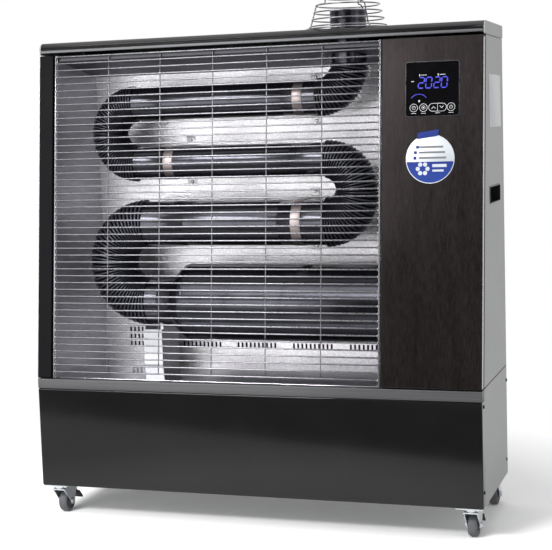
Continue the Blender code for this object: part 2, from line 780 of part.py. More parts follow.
def neck_mouth():
    """Where the filler neck ends, as (x, depth, height)."""
    x = -HALF + TANK_SIDE_GAP + NECK_FROM_TANK_END
    level = BASE_BOTTOM + SHEET + PLAY + TANK_HEIGHT - NECK_DROP
    tilt = math.radians(NECK_TILT)
    reach = NECK_LENGTH - NECK_SUNK
    back = CABINET_DEPTH - TANK_BACK_GAP
    return x, back + reach * math.cos(tilt), level + reach * math.sin(tilt)


def rear_cover():
    """Back of the cabinet, with vents, the filler window and the hole for the cable gland."""
    sheet = rectangle((-HALF, BASE_BOTTOM), (HALF, UPPER_TOP - PLAY))
    x, _, level = neck_mouth()
    window = rounded_rectangle((x - WINDOW_HALF_WIDTH, level - WINDOW_BELOW_NECK),
                               (x + WINDOW_HALF_WIDTH, level + WINDOW_ABOVE_NECK), TANK_RADIUS)
    middle = (HALF - GLAND_FROM_SIDE, BASE_BOTTOM + GLAND_ABOVE_BASE)
    gland = circle(middle, GLAND_THREAD_RADIUS + PLAY, NECK_STEPS)
    loops = [sheet, window, gland, *vent_rows()]
    outline("rear_cover", loops, -CABINET_DEPTH, -COVER_FACE, SILVER_PAINT, FACING_FRONT)


def lid_section(bottom):
    """Outer skin of the lid from its back foot over the top to its rounded front."""
    rear_corner = (LID_BACK - LID_REAR_RADIUS, LID_TOP - LID_REAR_RADIUS)
    front_corner = (LID_FRONT + LID_FRONT_RADIUS, LID_TOP - LID_FRONT_RADIUS)
    back = arc(rear_corner, LID_REAR_RADIUS, 0, 90, LID_REAR_POINTS)
    front = arc(front_corner, LID_FRONT_RADIUS, 90, 180, LID_FRONT_POINTS)
    return [(LID_BACK, UPPER_TOP + PLAY), *back, *front, (LID_FRONT, bottom)]


def stack_hole(name, gap, low, high):
    """A cutter round the stack."""
    axis = place(STACK_X, TUBE_DEPTH)
    return rod(name, STACK_RADIUS + gap, low, high, TUBE_STEPS, HOT_STEEL, axis)


def lid():
    """Black top sheet, rounded down over the front."""
    end = LID_END - END_CAP - PLAY
    sheet = bent_sheet("lid", lid_section(UPPER_TOP + LID_FRONT_LIFT), -end, end, GLOSS_BLACK, SECTION)
    cut(sheet, stack_hole("lid_hole", STACK_HOLE_GAP, LID_TOP - LID_FRONT_RADIUS, LID_TOP + OVERRUN))


def lid_trim_strip():
    """Bright strip under the front edge of the lid."""
    end = LID_END - END_CAP - PLAY
    top = UPPER_TOP + LID_FRONT_LIFT - PLAY
    low = (-end, LID_FRONT - TRIM_PROUD, top - TRIM_HEIGHT)
    block("lid_trim_strip", low, (end, LID_FRONT + TRIM_DEPTH, top), BRUSHED_STEEL, radius=TRIM_RADIUS)


def lid_end_cap(name, side):
    """Silver plate that closes one end of the lid and stands on the side panel."""
    faces = sorted((side * (LID_END - END_CAP), side * LID_END))
    outline(name, [lid_section(UPPER_TOP + PLAY)], *faces, SILVER_PAINT, SECTION)


def side_handle(name, side):
    """Recessed black cup to lift the heater by."""
    low, high = handle_span()
    inner, outer = side * (HALF - HANDLE_DEPTH), side * (HALF + HANDLE_PROUD)
    corner = (min(inner, outer), *low)
    opposite = (max(inner, outer), *high)
    pan(name, corner, opposite, CAP_BLACK, (side, 0, 0), radius=HANDLE_RADIUS, wall=HANDLE_WALL, along=0)


def liner_outline(setback):
    """Side wall of the chamber, its front edge leaning with the guard."""
    top = UPPER_TOP - LINER_TOP_GAP
    foot = LEDGE_TOP + PLAY
    lean = setback / math.cos(LEAN)
    return [(INNER_FRONT, DECK_TOP + PLAY), (REFLECTOR_FACE - PLAY, DECK_TOP + PLAY),
            (REFLECTOR_FACE - PLAY, top), (lean_depth(top) + lean, top), (lean_depth(foot) + lean, foot),
            (INNER_FRONT, foot)]


def left_liner():
    """Smooth stainless wall on the left of the chamber."""
    faces = (CHAMBER_LEFT - SHEET, CHAMBER_LEFT)
    outline("left_liner", [liner_outline(LINER_SETBACK)], *faces, LINER_STEEL, SECTION)


def burner_bulkhead():
    """Wall between the chamber and the burner, bored for the blast tube."""
    faces = (CHAMBER_RIGHT, CHAMBER_RIGHT + SHEET)
    bore = circle((TUBE_DEPTH, DRUM_LEVEL), BLAST_TUBE_RADIUS + BLAST_HOLE_GAP, BURNER_STEPS)
    outline("burner_bulkhead", [liner_outline(BULKHEAD_SETBACK), bore], *faces, LINER_STEEL, SECTION)


def slot_rows():
    """Vent slots of the reflector: rows of upright slots and one stacked group."""
    foot = DECK_TOP + SLOTS_ABOVE_DECK
    for group in range(SLOT_GROUPS):
        for i in range(SLOTS_IN_GROUP):
            x = CHAMBER_LEFT + SLOTS_FROM_LINER + SLOT_GROUP_PITCH * group + SLOT_PITCH * i
            if x + SLOT_WIDTH < CHAMBER_RIGHT:
                yield rectangle((x, foot), (x + SLOT_WIDTH, foot + SLOT_HEIGHT))
    for row in range(STACKED_SLOT_ROWS):
        for i in range(STACKED_SLOT_COLUMNS):
            x = CHAMBER_LEFT + STACKED_SLOTS_FROM_LINER + SLOT_PITCH * i
            z = foot + STACKED_SLOT_RISE * row
            yield rectangle((x, z), (x + SLOT_WIDTH, z + STACKED_SLOT_HEIGHT))


def rear_reflector():
    """Embossed aluminium wall behind the tubes."""
    low = (CHAMBER_LEFT - SHEET, DECK_TOP + PLAY)
    sheet = rectangle(low, (CHAMBER_RIGHT + SHEET, UPPER_TOP - LINER_TOP_GAP))
    faces = (-REFLECTOR_FACE - SHEET, -REFLECTOR_FACE)
    outline("rear_reflector", [sheet, *slot_rows()], *faces, STUCCO, FACING_FRONT)


def header_panel():
    """Dark roof of the chamber, falling towards the back."""
    front = lean_depth(HEADER_HIGH + HEADER_FLANGE) + LINER_SETBACK / math.cos(LEAN)
    path = [(front, HEADER_HIGH + HEADER_FLANGE), (front, HEADER_HIGH), (REFLECTOR_FACE - PLAY, HEADER_LOW)]
    roof = bent_sheet("header_panel", path, CHAMBER_LEFT + PLAY, CHAMBER_RIGHT - PLAY, DARK_STEEL, SECTION)
    cut(roof, stack_hole("header_hole", STACK_HOLE_GAP, HEADER_LOW - OVERRUN, HEADER_HIGH + OVERRUN))


def chamber_floor():
    """Polished floor: a raised front part with a bright step, and a lower back part."""
    low = DECK_TOP + PLAY + SHEET
    lip = LEDGE_TOP + PLAY + SHEET
    step = FLOOR_STEP_DEPTH
    path = [(REFLECTOR_FACE - PLAY, low), (step + FLOOR_STEP_RUN, low), (step, lip + FLOOR_STEP_RISE),
            (FRONT_RETURN - FLOOR_LAP, lip)]
    ends = (CHAMBER_LEFT + PLAY, CHAMBER_RIGHT - PLAY)
    bent_sheet("chamber_floor", path, *ends, LINER_STEEL, SECTION)


def side_bars():
    """X places of the two upright bars of the guard."""
    left = -HALF + COLUMN_WIDTH + SIDE_BAR_GAP + SIDE_BAR_RADIUS
    return max(left, CHAMBER_LEFT - SIDE_BAR_GAP), CHAMBER_RIGHT - SIDE_BAR_RADIUS - SIDE_BAR_GAP


def add_rod(shape, start, end, radius, sides):
    """A straight wire between two points, added to a bmesh."""
    way = Vector(end) - Vector(start)
    middle = (Vector(start) + Vector(end)) / 2
    turn = way.to_track_quat("Z", "Y").to_matrix().to_4x4()
    frame = Matrix.Translation(middle) @ turn
    bmesh.ops.create_cone(shape, cap_ends=True, segments=sides, radius1=radius, radius2=radius,
                          depth=way.length, matrix=frame)


def wire_levels():
    """How far up the slope each wire of the guard lies."""
    first = FIRST_WIRE_RISE / math.cos(LEAN)
    last = SLOPE_LENGTH - LAST_WIRE_DROP / math.cos(LEAN)
    return [first + (last - first) * i / (WIRE_COUNT - 1) for i in range(WIRE_COUNT)]


def guard_wires():
    """Ladder of chromed wires between two upright bars."""
    left, right = side_bars()
    bars = bmesh.new()
    foot = leaning_foot(WIRE_PLANE + SIDE_BAR_RADIUS)
    for x in (left, right):
        start = (x, WIRE_PLANE, foot)
        end = (x, WIRE_PLANE, SLOPE_LENGTH - PANEL_TOP_GAP)
        add_rod(bars, start, end, SIDE_BAR_RADIUS, SIDE_BAR_SIDES)
    guard = from_bmesh("guard_wires", bars, CHROME, LEANING)
    wires = bmesh.new()
    for level in wire_levels():
        add_rod(wires, (left, WIRE_PLANE, level), (right, WIRE_PLANE, level), WIRE_RADIUS, WIRE_SIDES)
    fuse(guard, from_bmesh("guard_rungs", wires, CHROME, LEANING))


def guard_stays():
    """Upright stays behind the wires, tied at the top and bottom wire."""
    left, right = side_bars()
    depth = WIRE_PLANE + WIRE_RADIUS + WIRE_RADIUS + PLAY
    levels = wire_levels()
    rails = bmesh.new()
    for level in (levels[0], levels[-1]):
        start = (left + SIDE_BAR_RADIUS + PLAY, depth, level)
        end = (right - SIDE_BAR_RADIUS - PLAY, depth, level)
        add_rod(rails, start, end, WIRE_RADIUS, WIRE_SIDES)
    guard = from_bmesh("guard_stays", rails, CHROME, LEANING)
    stays = bmesh.new()
    for i in range(STAY_COUNT):
        x = CHAMBER_LEFT + FIRST_STAY_FROM_LINER + STAY_PITCH * i
        add_rod(stays, (x, depth, levels[0]), (x, depth, levels[-1]), STAY_RADIUS, WIRE_SIDES)
    fuse(guard, from_bmesh("guard_uprights", stays, CHROME, LEANING))


def combustion_drum():
    """Hollow drum that the flame burns in, coned down to the first bend."""
    end = CHAMBER_RIGHT - PLAY
    start = CHAMBER_LEFT + DRUM_START
    shoulder = start - DRUM_CONE
    collar = shoulder - DRUM_SHOULDER
    bore = (ROW_3_RADIUS + PLAY) / math.cos(math.pi / DRUM_STEPS)
    outer = [(DRUM_RADIUS, end), (DRUM_RADIUS, start), (DRUM_SHOULDER_RADIUS, shoulder),
             (bore + DRUM_WALL, collar), (bore + DRUM_WALL, collar - DRUM_COLLAR)]
    inner = [(bore, collar - DRUM_COLLAR), (bore, collar), (DRUM_SHOULDER_RADIUS - DRUM_WALL, shoulder),
             (DRUM_RADIUS - DRUM_WALL, start), (DRUM_RADIUS - DRUM_WALL, end)]
    frame = place(0, TUBE_DEPTH, DRUM_LEVEL) @ AXIS_ALONG_X
    turned("combustion_drum", outer + inner, DRUM_STEPS, HOT_STEEL, frame, ring=True)


def tube_row(name, start, end, level, radius):
    """A straight run of tube."""
    profile = [(radius, end), (radius, start), (radius - TUBE_WALL, start), (radius - TUBE_WALL, end)]
    turned(name, profile, TUBE_STEPS, HOT_STEEL, place(0, TUBE_DEPTH, level) @ AXIS_ALONG_X, ring=True)


def swung(centre, radius, angle):
    """A point on a bend's centre line, at an angle in degrees."""
    turn = math.radians(angle)
    return (centre[0] + radius * math.cos(turn), TUBE_DEPTH, centre[1] + radius * math.sin(turn))


def bend_route(centre, radius, first, last, cuffs, count):
    """Centre line of a bend: a straight cuff, the arc, a straight cuff."""
    points = [swung(centre, radius, first + (last - first) * i / count) for i in range(count + 1)]
    ends = []
    for point, angle, cuff in ((points[0], first, cuffs[0]), (points[-1], last, cuffs[1])):
        turn = math.radians(angle)
        away = -1 if angle == first else 1
        sense = away * (1 if last > first else -1)
        x = point[0] - sense * cuff * math.sin(turn)
        z = point[2] + sense * cuff * math.cos(turn)
        ends.append((x, TUBE_DEPTH, z))
    return [ends[0], *points, ends[1]]


def ribbed_bend(name, centre, radius, first, last, tubes, cuffs, ribs):
    """A pleated bend with its bore: each rib is a crest and a valley of unlike radius."""
    count = 2 * ribs
    route = bend_route(centre, radius, first, last, cuffs, count)
    radii = [tubes[0]]
    for i in range(count + 1):
        valley = tubes[0] + (tubes[1] - tubes[0]) * i / count
        radii.append(valley + RIB_HEIGHT * (i % 2))
    radii.append(tubes[1])
    bend = swept(name, route, tubes[0], RIBBED_BLACK, 2, radii)
    longer = [cuff + OVERRUN for cuff in cuffs]
    bore_route = bend_route(centre, radius, first, last, longer, BORE_TURNS)
    bores = [tube - BORE_WALL for tube in tubes]
    inner = [bores[0]]
    inner += [bores[0] + (bores[1] - bores[0]) * i / BORE_TURNS for i in range(BORE_TURNS + 1)]
    inner.append(bores[1])
    cut(bend, swept(name + "_bore", bore_route, tubes[0], RIBBED_BLACK, 2, inner))


def heat_exchanger():
    """The tube's run: drum, bend, row 3, bend, row 2, bend, row 1, elbow, stack."""
    combustion_drum()
    small, large = ROW_1_RADIUS, ROW_3_RADIUS
    lower = (LOWER_BEND_X, (DRUM_LEVEL + ROW_3_LEVEL) / 2)
    right = (RIGHT_BEND_X, (ROW_3_LEVEL + ROW_2_LEVEL) / 2)
    upper = (UPPER_BEND_X, (ROW_2_LEVEL + ROW_1_LEVEL) / 2)
    elbow = (ELBOW_X, ROW_1_LEVEL + ELBOW_RADIUS)
    same, wide, narrowing = (small, small), (large, large), (large, small)
    even, uneven = (CUFF_1, CUFF_1), (CUFF_3, CUFF_1)
    to_drum = (DRUM_CUFF, CUFF_3)
    ribbed_bend("lower_left_bend", lower, LOWER_BEND_RADIUS, 270, 90, wide, to_drum, BEND_RIBS)
    ribbed_bend("right_bend", right, RIGHT_BEND_RADIUS, -90, 90, narrowing, uneven, BEND_RIBS)
    ribbed_bend("upper_left_bend", upper, UPPER_BEND_RADIUS, 270, 90, same, even, BEND_RIBS)
    ribbed_bend("exhaust_elbow", elbow, ELBOW_RADIUS, -90, 0, same, even, ELBOW_RIBS)
    ends = {3: (LOWER_BEND_X + CUFF_3, RIGHT_BEND_X - CUFF_3),
            2: (UPPER_BEND_X + CUFF_1, RIGHT_BEND_X - CUFF_1),
            1: (UPPER_BEND_X + CUFF_1, ELBOW_X - CUFF_1)}
    rows = {3: (ROW_3_LEVEL, large), 2: (ROW_2_LEVEL, small), 1: (ROW_1_LEVEL, small)}
    for row, (level, radius) in rows.items():
        start, end = ends[row]
        tube_row(f"tube_row_{row}", start + PLAY, end - PLAY, level, radius)


def exhaust_stack():
    """Sleeve over the elbow's end, up through the header and the lid."""
    foot = ROW_1_LEVEL + ELBOW_RADIUS + RIB_HEIGHT
    profile = [(STACK_RADIUS, STACK_TOP), (STACK_RADIUS, foot), (STACK_BORE, foot), (STACK_BORE, STACK_TOP)]
    turned("exhaust_stack", profile, TUBE_STEPS, HOT_STEEL, place(STACK_X, TUBE_DEPTH), ring=True)


def tube_clamp(name, x, level, radius):
    """Strap over a tube, screwed to the reflector by a flange above and one below."""
    band = (radius + PLAY) / math.cos(math.pi / CLAMP_STEPS / 2)
    wall = REFLECTOR_FACE - PLAY
    front = arc((TUBE_DEPTH, level), band, 90, 270, CLAMP_STEPS + 1)
    path = [(wall, level + band + CLAMP_FLANGE), (wall, level + band), *front,
            (wall, level - band), (wall, level - band - CLAMP_FLANGE)]
    ends = (x - CLAMP_WIDTH / 2, x + CLAMP_WIDTH / 2)
    bent_sheet(name, path, *ends, STRAP_STEEL, SECTION, wall=CLAMP_SHEET, skin_inside=True)


def tube_clamps():
    """One strap for each straight row."""
    tube_clamp("tube_clamp_row_1", CHAMBER_RIGHT - CLAMP_1_FROM_BULKHEAD, ROW_1_LEVEL, ROW_1_RADIUS)
    tube_clamp("tube_clamp_row_2", CHAMBER_LEFT + CLAMP_2_FROM_LINER, ROW_2_LEVEL, ROW_1_RADIUS)
    tube_clamp("tube_clamp_row_3", CHAMBER_RIGHT - CLAMP_3_FROM_BULKHEAD, ROW_3_LEVEL, ROW_3_RADIUS)


def drum_stand():
    """Folded channel on the floor, its top cut to the round of the bend it carries."""
    left = LOWER_BEND_X - STAND_LEFT
    right = left + STAND_WIDTH
    front = TUBE_DEPTH - STAND_FRONT
    back = front + STAND_LENGTH
    path = [(left, back), (left, front), (right, front), (right, back)]
    foot = DECK_TOP + PLAY + SHEET + PLAY
    top = DRUM_LEVEL - STAND_SIDE_DROP
    stand = bent_sheet("drum_stand", path, foot, top, BRUSHED_STEEL, Matrix.Identity(4), wall=STAND_SHEET)
    frame = place(0, TUBE_DEPTH, DRUM_LEVEL) @ AXIS_ALONG_X
    ends = (left - OVERRUN, right + OVERRUN)
    cut(stand, rod("stand_saddle", CREST_3 + PLAY, *ends, TUBE_STEPS, HOT_STEEL, frame))
    low = (left - OVERRUN, front - OVERRUN, DRUM_LEVEL - STAND_FRONT_DROP)
    high = (right + OVERRUN, front + STAND_NOTCH, top + OVERRUN)
    cut(stand, block("stand_notch", low, high, BRUSHED_STEEL))


def cage_spoke(angle):
    """One bent wire of the stack guard, from its base ring to the middle of its top."""
    turn = math.radians(angle)
    rise = LID_TOP
    stations = [(CAGE_BASE_RADIUS - CAGE_WIRE, CAGE_WIRE + PLAY),
                (CAGE_FOOT_RADIUS, CAGE_FOOT_RISE),
                (CAGE_SHOULDER_RADIUS, CAGE_SHOULDER_RISE),
                (CAGE_SHOULDER_RADIUS - CAGE_CORNER, CAGE_NECK_RISE),
                (CAGE_NECK_RADIUS, CAGE_NECK_RISE),
                (CAGE_NECK_RADIUS, CAGE_TOP_RISE - CAGE_CORNER),
                (CAGE_NECK_RADIUS - CAGE_CORNER, CAGE_TOP_RISE),
                (-CAGE_WIRE, CAGE_TOP_RISE)]
    inside = [stations[0]] + [(radius - CAGE_WIRE, height) for radius, height in stations[1:]]
    return [(STACK_X + radius * math.cos(turn), TUBE_DEPTH + radius * math.sin(turn), rise + height)
            for radius, height in inside]


def cage_ring(radius, rise):
    """A wire ring of the stack guard."""
    bpy.ops.mesh.primitive_torus_add(major_segments=CAGE_STEPS, minor_segments=CAGE_SIDES,
                                     major_radius=radius, minor_radius=CAGE_WIRE)
    mesh = bpy.context.object.data
    bpy.data.objects.remove(bpy.context.object, do_unlink=True)
    return adopt("cage_ring", mesh, CHROME, place(STACK_X, TUBE_DEPTH, LID_TOP + rise))


def exhaust_guard():
    """Wire cage over the hot stack: rings on a cone, a neck, and three bent spokes."""
    guard = cage_ring(CAGE_BASE_RADIUS, CAGE_WIRE + PLAY)
    guard.name = "exhaust_guard"
    steps = CAGE_CONE_RINGS - 1
    for i in range(CAGE_CONE_RINGS):
        radius = CAGE_FOOT_RADIUS + (CAGE_SHOULDER_RADIUS - CAGE_FOOT_RADIUS) * i / steps
        rise = CAGE_FOOT_RISE + (CAGE_SHOULDER_RISE - CAGE_FOOT_RISE) * i / steps
        fuse(guard, cage_ring(radius, rise))
    fuse(guard, cage_ring(CAGE_NECK_RADIUS, CAGE_TOP_RISE - CAGE_CORNER))
    for i in range(CAGE_SPOKES):
        points = cage_spoke(CAGE_FIRST_SPOKE + 360 / CAGE_SPOKES * i)
        fuse(guard, swept(f"cage_spoke_{i}", points, CAGE_WIRE, CHROME, 1))


def control_unit():
    """Touch control: a thin silver housing, black glass and the board behind it."""
    (x0, z0), (x1, z1) = control_span()
    low, high = (x0, -CONTROL_PROUD, z0), (x1, CONTROL_DEPTH, z1)
    pan("control_housing", low, high, ZINC, (0, -1, 0), LEANING, CONTROL_CORNER, CONTROL_WALL, along=1)
    inset = CONTROL_WALL + PLAY
    corner = CONTROL_CORNER - CONTROL_WALL
    face = rounded_rectangle((x0 + inset, z0 + inset), (x1 - inset, z1 - inset), corner)
    frame = LEANING @ FACING_FRONT
    outline("control_glass", [face], -GLASS_SUNK - GLASS_THICKNESS, -GLASS_SUNK, BLACK_GLASS, frame)
    outline("control_board", [face], -BOARD_SUNK - BOARD_THICKNESS, -BOARD_SUNK, CIRCUIT_GREEN, frame)


def burner_axis(x):
    """Frame at a point of the burner's axis, its Z axis along X."""
    return place(x, TUBE_DEPTH, DRUM_LEVEL) @ AXIS_ALONG_X


def scroll_back():
    """X of the back face of the fan scroll."""
    return CHAMBER_RIGHT + SHEET + PLAY + SCROLL_STANDOFF + SCROLL_WIDTH


def burner_housing():
    """Blast tube, mounting flange and fan scroll in one turned casting."""
    face = CHAMBER_RIGHT + SHEET + PLAY
    front = face + SCROLL_STANDOFF
    back = scroll_back()
    tip = CHAMBER_RIGHT - BLAST_TUBE_REACH
    tube, wall = BLAST_TUBE_RADIUS, BURNER_WALL
    outer = [(SCROLL_EYE, back), (SCROLL_RADIUS, back), (SCROLL_RADIUS, front), (tube, front),
             (tube, face + BURNER_FLANGE), (BURNER_FLANGE_RADIUS, face + BURNER_FLANGE),
             (BURNER_FLANGE_RADIUS, face), (tube, face), (tube, tip)]
    inner = [(tube - wall, tip), (tube - wall, front + wall), (SCROLL_RADIUS - wall, front + wall),
             (SCROLL_RADIUS - wall, back - wall), (SCROLL_EYE, back - wall)]
    turned("burner_housing", outer + inner, BURNER_STEPS, CAST_ALUMINIUM, burner_axis(0), ring=True)


def burner_motor():
    """Motor on the back of the scroll, its shaft reaching into the fan."""
    face = scroll_back() + PLAY
    profile = [(0, face + MOTOR_LENGTH), (MOTOR_NOSE, face + MOTOR_LENGTH),
               (MOTOR_RADIUS, face + MOTOR_LENGTH - MOTOR_NOSE_LENGTH), (MOTOR_RADIUS, face),
               (SHAFT_RADIUS, face), (SHAFT_RADIUS, face - SHAFT_REACH), (0, face - SHAFT_REACH)]
    turned("burner_motor", profile, BURNER_STEPS, MOTOR_BLACK, burner_axis(0))


def burner_fan():
    """Blower wheel: a back plate and hub bored for the shaft, with radial blades."""
    plate = scroll_back() - BURNER_WALL - FAN_FROM_BACK
    bore = SHAFT_RADIUS + PLAY
    foot = -FAN_PLATE - FAN_BLADE_WIDTH
    profile = [(bore, 0), (FAN_RADIUS, 0), (FAN_RADIUS, -FAN_PLATE), (FAN_HUB_RADIUS, -FAN_PLATE),
               (FAN_HUB_RADIUS, foot), (bore, foot)]
    wheel = turned("burner_fan", profile, BURNER_STEPS, GALVANISED, burner_axis(plate), ring=True)
    blades = bmesh.new()
    half = FAN_BLADE_SHEET / 2
    for i in range(FAN_BLADES):
        low = (FAN_RADIUS - FAN_BLADE_LENGTH, -half, foot)
        made = cube_between(blades, low, (FAN_RADIUS - FAN_BLADE_SHEET, half, -FAN_PLATE / 2))
        turn = Matrix.Rotation((i + 0.5) * 2 * math.pi / FAN_BLADES, 4, "Z")
        bmesh.ops.transform(blades, matrix=turn, verts=made)
    fuse(wheel, from_bmesh("fan_blades", blades, GALVANISED, burner_axis(plate)))


def fuel_pump():
    """Small upright pump on the deck beside the burner."""
    nipple = PUMP_HEIGHT + PUMP_NIPPLE
    profile = [(0, nipple), (PUMP_NIPPLE_RADIUS, nipple), (PUMP_NIPPLE_RADIUS, PUMP_HEIGHT),
               (PUMP_RADIUS, PUMP_HEIGHT), (PUMP_RADIUS, PUMP_BASE), (PUMP_BASE_RADIUS, PUMP_BASE),
               (PUMP_BASE_RADIUS, 0), (0, 0)]
    frame = place(CHAMBER_RIGHT + SHEET + PUMP_FROM_BULKHEAD, PUMP_DEPTH, DECK_TOP + PLAY)
    turned("fuel_pump", profile, NECK_STEPS, BRASS, frame)


def neck_frame():
    """Frame at the mouth of the filler neck, its Z axis out of the neck."""
    tilt = math.radians(NECK_TILT)
    return place(*neck_mouth()) @ Matrix.Rotation(tilt - math.pi / 2, 4, "X")


def fuel_tank():
    """Hollow tank on the floor of the base, with the tilted filler neck behind."""
    bottom = BASE_BOTTOM + SHEET + PLAY
    left = -HALF + TANK_SIDE_GAP
    low = (left, INNER_FRONT + TANK_FRONT_GAP, bottom)
    high = (left + TANK_LENGTH, CABINET_DEPTH - TANK_BACK_GAP, bottom + TANK_HEIGHT)
    tank = block("fuel_tank", low, high, TANK_GREY, radius=TANK_RADIUS)
    inner_low = [value + TANK_WALL for value in low]
    inner_high = [value - TANK_WALL for value in high]
    cut(tank, block("tank_inside", inner_low, inner_high, TANK_GREY, radius=TANK_RADIUS - TANK_WALL))
    fuse(tank, rod("filler_neck", NECK_RADIUS, -NECK_LENGTH, 0, NECK_STEPS, TANK_GREY, neck_frame()))
    through = -NECK_LENGTH - OVERRUN
    cut(tank, rod("neck_bore", NECK_BORE_RADIUS, through, OVERRUN, NECK_STEPS, TANK_GREY, neck_frame()))


def fuel_cap():
    """Screw cap over the neck."""
    inside = NECK_RADIUS + PLAY
    outside = inside + CAP_WALL
    profile = [(0, PLAY + CAP_TOP), (outside, PLAY + CAP_TOP), (outside, -CAP_SKIRT), (inside, -CAP_SKIRT),
               (inside, PLAY), (0, PLAY)]
    turned("fuel_cap", profile, NECK_STEPS, CAP_RED, neck_frame())


def cable_gland():
    """Bored gland where the supply cable enters the back."""
    flange = PLAY + GLAND_LENGTH
    nose = flange + GLAND_NOSE
    profile = [(GLAND_NOSE_RADIUS, nose), (GLAND_RADIUS, flange), (GLAND_RADIUS, PLAY),
               (GLAND_THREAD_RADIUS, PLAY), (GLAND_THREAD_RADIUS, -GLAND_THREAD),
               (GLAND_BORE, -GLAND_THREAD), (GLAND_BORE, nose)]
    frame = place(HALF - GLAND_FROM_SIDE, CABINET_DEPTH, BASE_BOTTOM + GLAND_ABOVE_BASE) @ AXIS_TO_BACK
    turned("cable_gland", profile, NECK_STEPS, CAP_BLACK, frame, ring=True)


def castor_plate(corner, swivel):
    """Top plate, ball race and king pin with its head under the crown."""
    half = PLATE_SIZE / 2
    low = (-half, -half, PLATE_BOTTOM)
    plate = block(f"castor_plate_{corner}", low, (half, half, PLATE_BOTTOM + PLATE_THICKNESS), ZINC, swivel)
    head = CROWN_BOTTOM - PLAY
    middle = PLATE_BOTTOM + PLATE_THICKNESS / 2
    profile = [(0, middle), (RACE_RADIUS, middle), (RACE_RADIUS, PLATE_BOTTOM - RACE_LIP),
               (RACE_FOOT_RADIUS, RACE_BOTTOM), (KING_PIN_RADIUS, RACE_BOTTOM), (KING_PIN_RADIUS, head),
               (KING_PIN_HEAD_RADIUS, head), (KING_PIN_HEAD_RADIUS, head - KING_PIN_HEAD),
               (0, head - KING_PIN_HEAD)]
    fuse(plate, turned(f"race_{corner}", profile, NECK_STEPS, ZINC, swivel))


def pedal_pivot():
    """Depth and height of the brake pedal's pin, from the swivel axis and the floor."""
    return TRAIL + PEDAL_PIVOT_BEHIND, AXLE_HEIGHT + PEDAL_PIVOT_ABOVE


def leg_outline(braked):
    """Side view of a fork leg: crown end, any ear for the pedal pin, and the axle boss."""
    half = CROWN_LENGTH / 2
    top = CROWN_TOP - CROWN_LIP
    boss = arc((TRAIL, AXLE_HEIGHT), BOSS_RADIUS, 180, 360, BOSS_POINTS)
    points = [(-half, top), *boss]
    if braked:
        depth, height = pedal_pivot()
        points += [(depth, height - EAR_LENGTH), (depth + EAR_LENGTH, height), (depth + EAR_LENGTH, top)]
    else:
        points.append((half, top))
    return points


def castor_fork(corner, swivel, braked):
    """Crown with a hole for the king pin, two raked legs, the axle and any pedal pin."""
    half = CROWN_LENGTH / 2
    side = LEG_OUTSIDE + CROWN_LIP
    sheet = rectangle((-side, -half), (side, half))
    hole = circle((0, 0), KING_PIN_RADIUS + PLAY, NECK_STEPS)
    crown = outline(f"castor_fork_{corner}", [sheet, hole], CROWN_BOTTOM, CROWN_TOP, ZINC, swivel)
    fork = as_mesh(crown)
    for way in (-1, 1):
        faces = sorted((way * LEG_INSIDE, way * LEG_OUTSIDE))
        leg = outline(f"leg_{corner}_{way}", [leg_outline(braked)], *faces, ZINC, swivel @ SECTION)
        fuse(fork, as_mesh(leg))
    head = LEG_OUTSIDE + AXLE_HEAD
    profile = [(0, head), (AXLE_HEAD_RADIUS, head), (AXLE_HEAD_RADIUS, LEG_OUTSIDE - CROWN_LIP),
               (AXLE_RADIUS, LEG_OUTSIDE - CROWN_LIP), (AXLE_RADIUS, -LEG_OUTSIDE + CROWN_LIP),
               (AXLE_HEAD_RADIUS, -LEG_OUTSIDE + CROWN_LIP), (AXLE_HEAD_RADIUS, -head), (0, -head)]
    axle = swivel @ place(0, TRAIL, AXLE_HEIGHT) @ AXIS_ALONG_X
    fuse(fork, turned(f"axle_{corner}", profile, PIN_STEPS, ZINC, axle))
    if braked:
        pin = swivel @ place(0, *pedal_pivot()) @ AXIS_ALONG_X
        reach = LEG_OUTSIDE - CROWN_LIP
        fuse(fork, rod(f"pin_{corner}", PEDAL_PIN_RADIUS, -reach, reach, PIN_STEPS, ZINC, pin))


def castor_wheel(corner, swivel):
    """Tyred wheel, bored for the axle; a flat of its tread stands on the floor."""
    half = WHEEL_WIDTH / 2
    bore = AXLE_RADIUS + PLAY
    side = [(WHEEL_HUB_RADIUS, half), (WHEEL_RIM_RADIUS, half - WHEEL_DISH),
            (WHEEL_RADIUS, half - WHEEL_SHOULDER)]
    mirrored = [(radius, -height) for radius, height in reversed(side)]
    profile = [(bore, half), *side, *mirrored, (bore, -half)]
    flat = Matrix.Rotation(math.pi / WHEEL_STEPS, 4, "X")
    frame = swivel @ place(0, TRAIL, AXLE_HEIGHT) @ flat @ AXIS_ALONG_X
    turned(f"castor_wheel_{corner}", profile, WHEEL_STEPS, RUBBER, frame, ring=True)


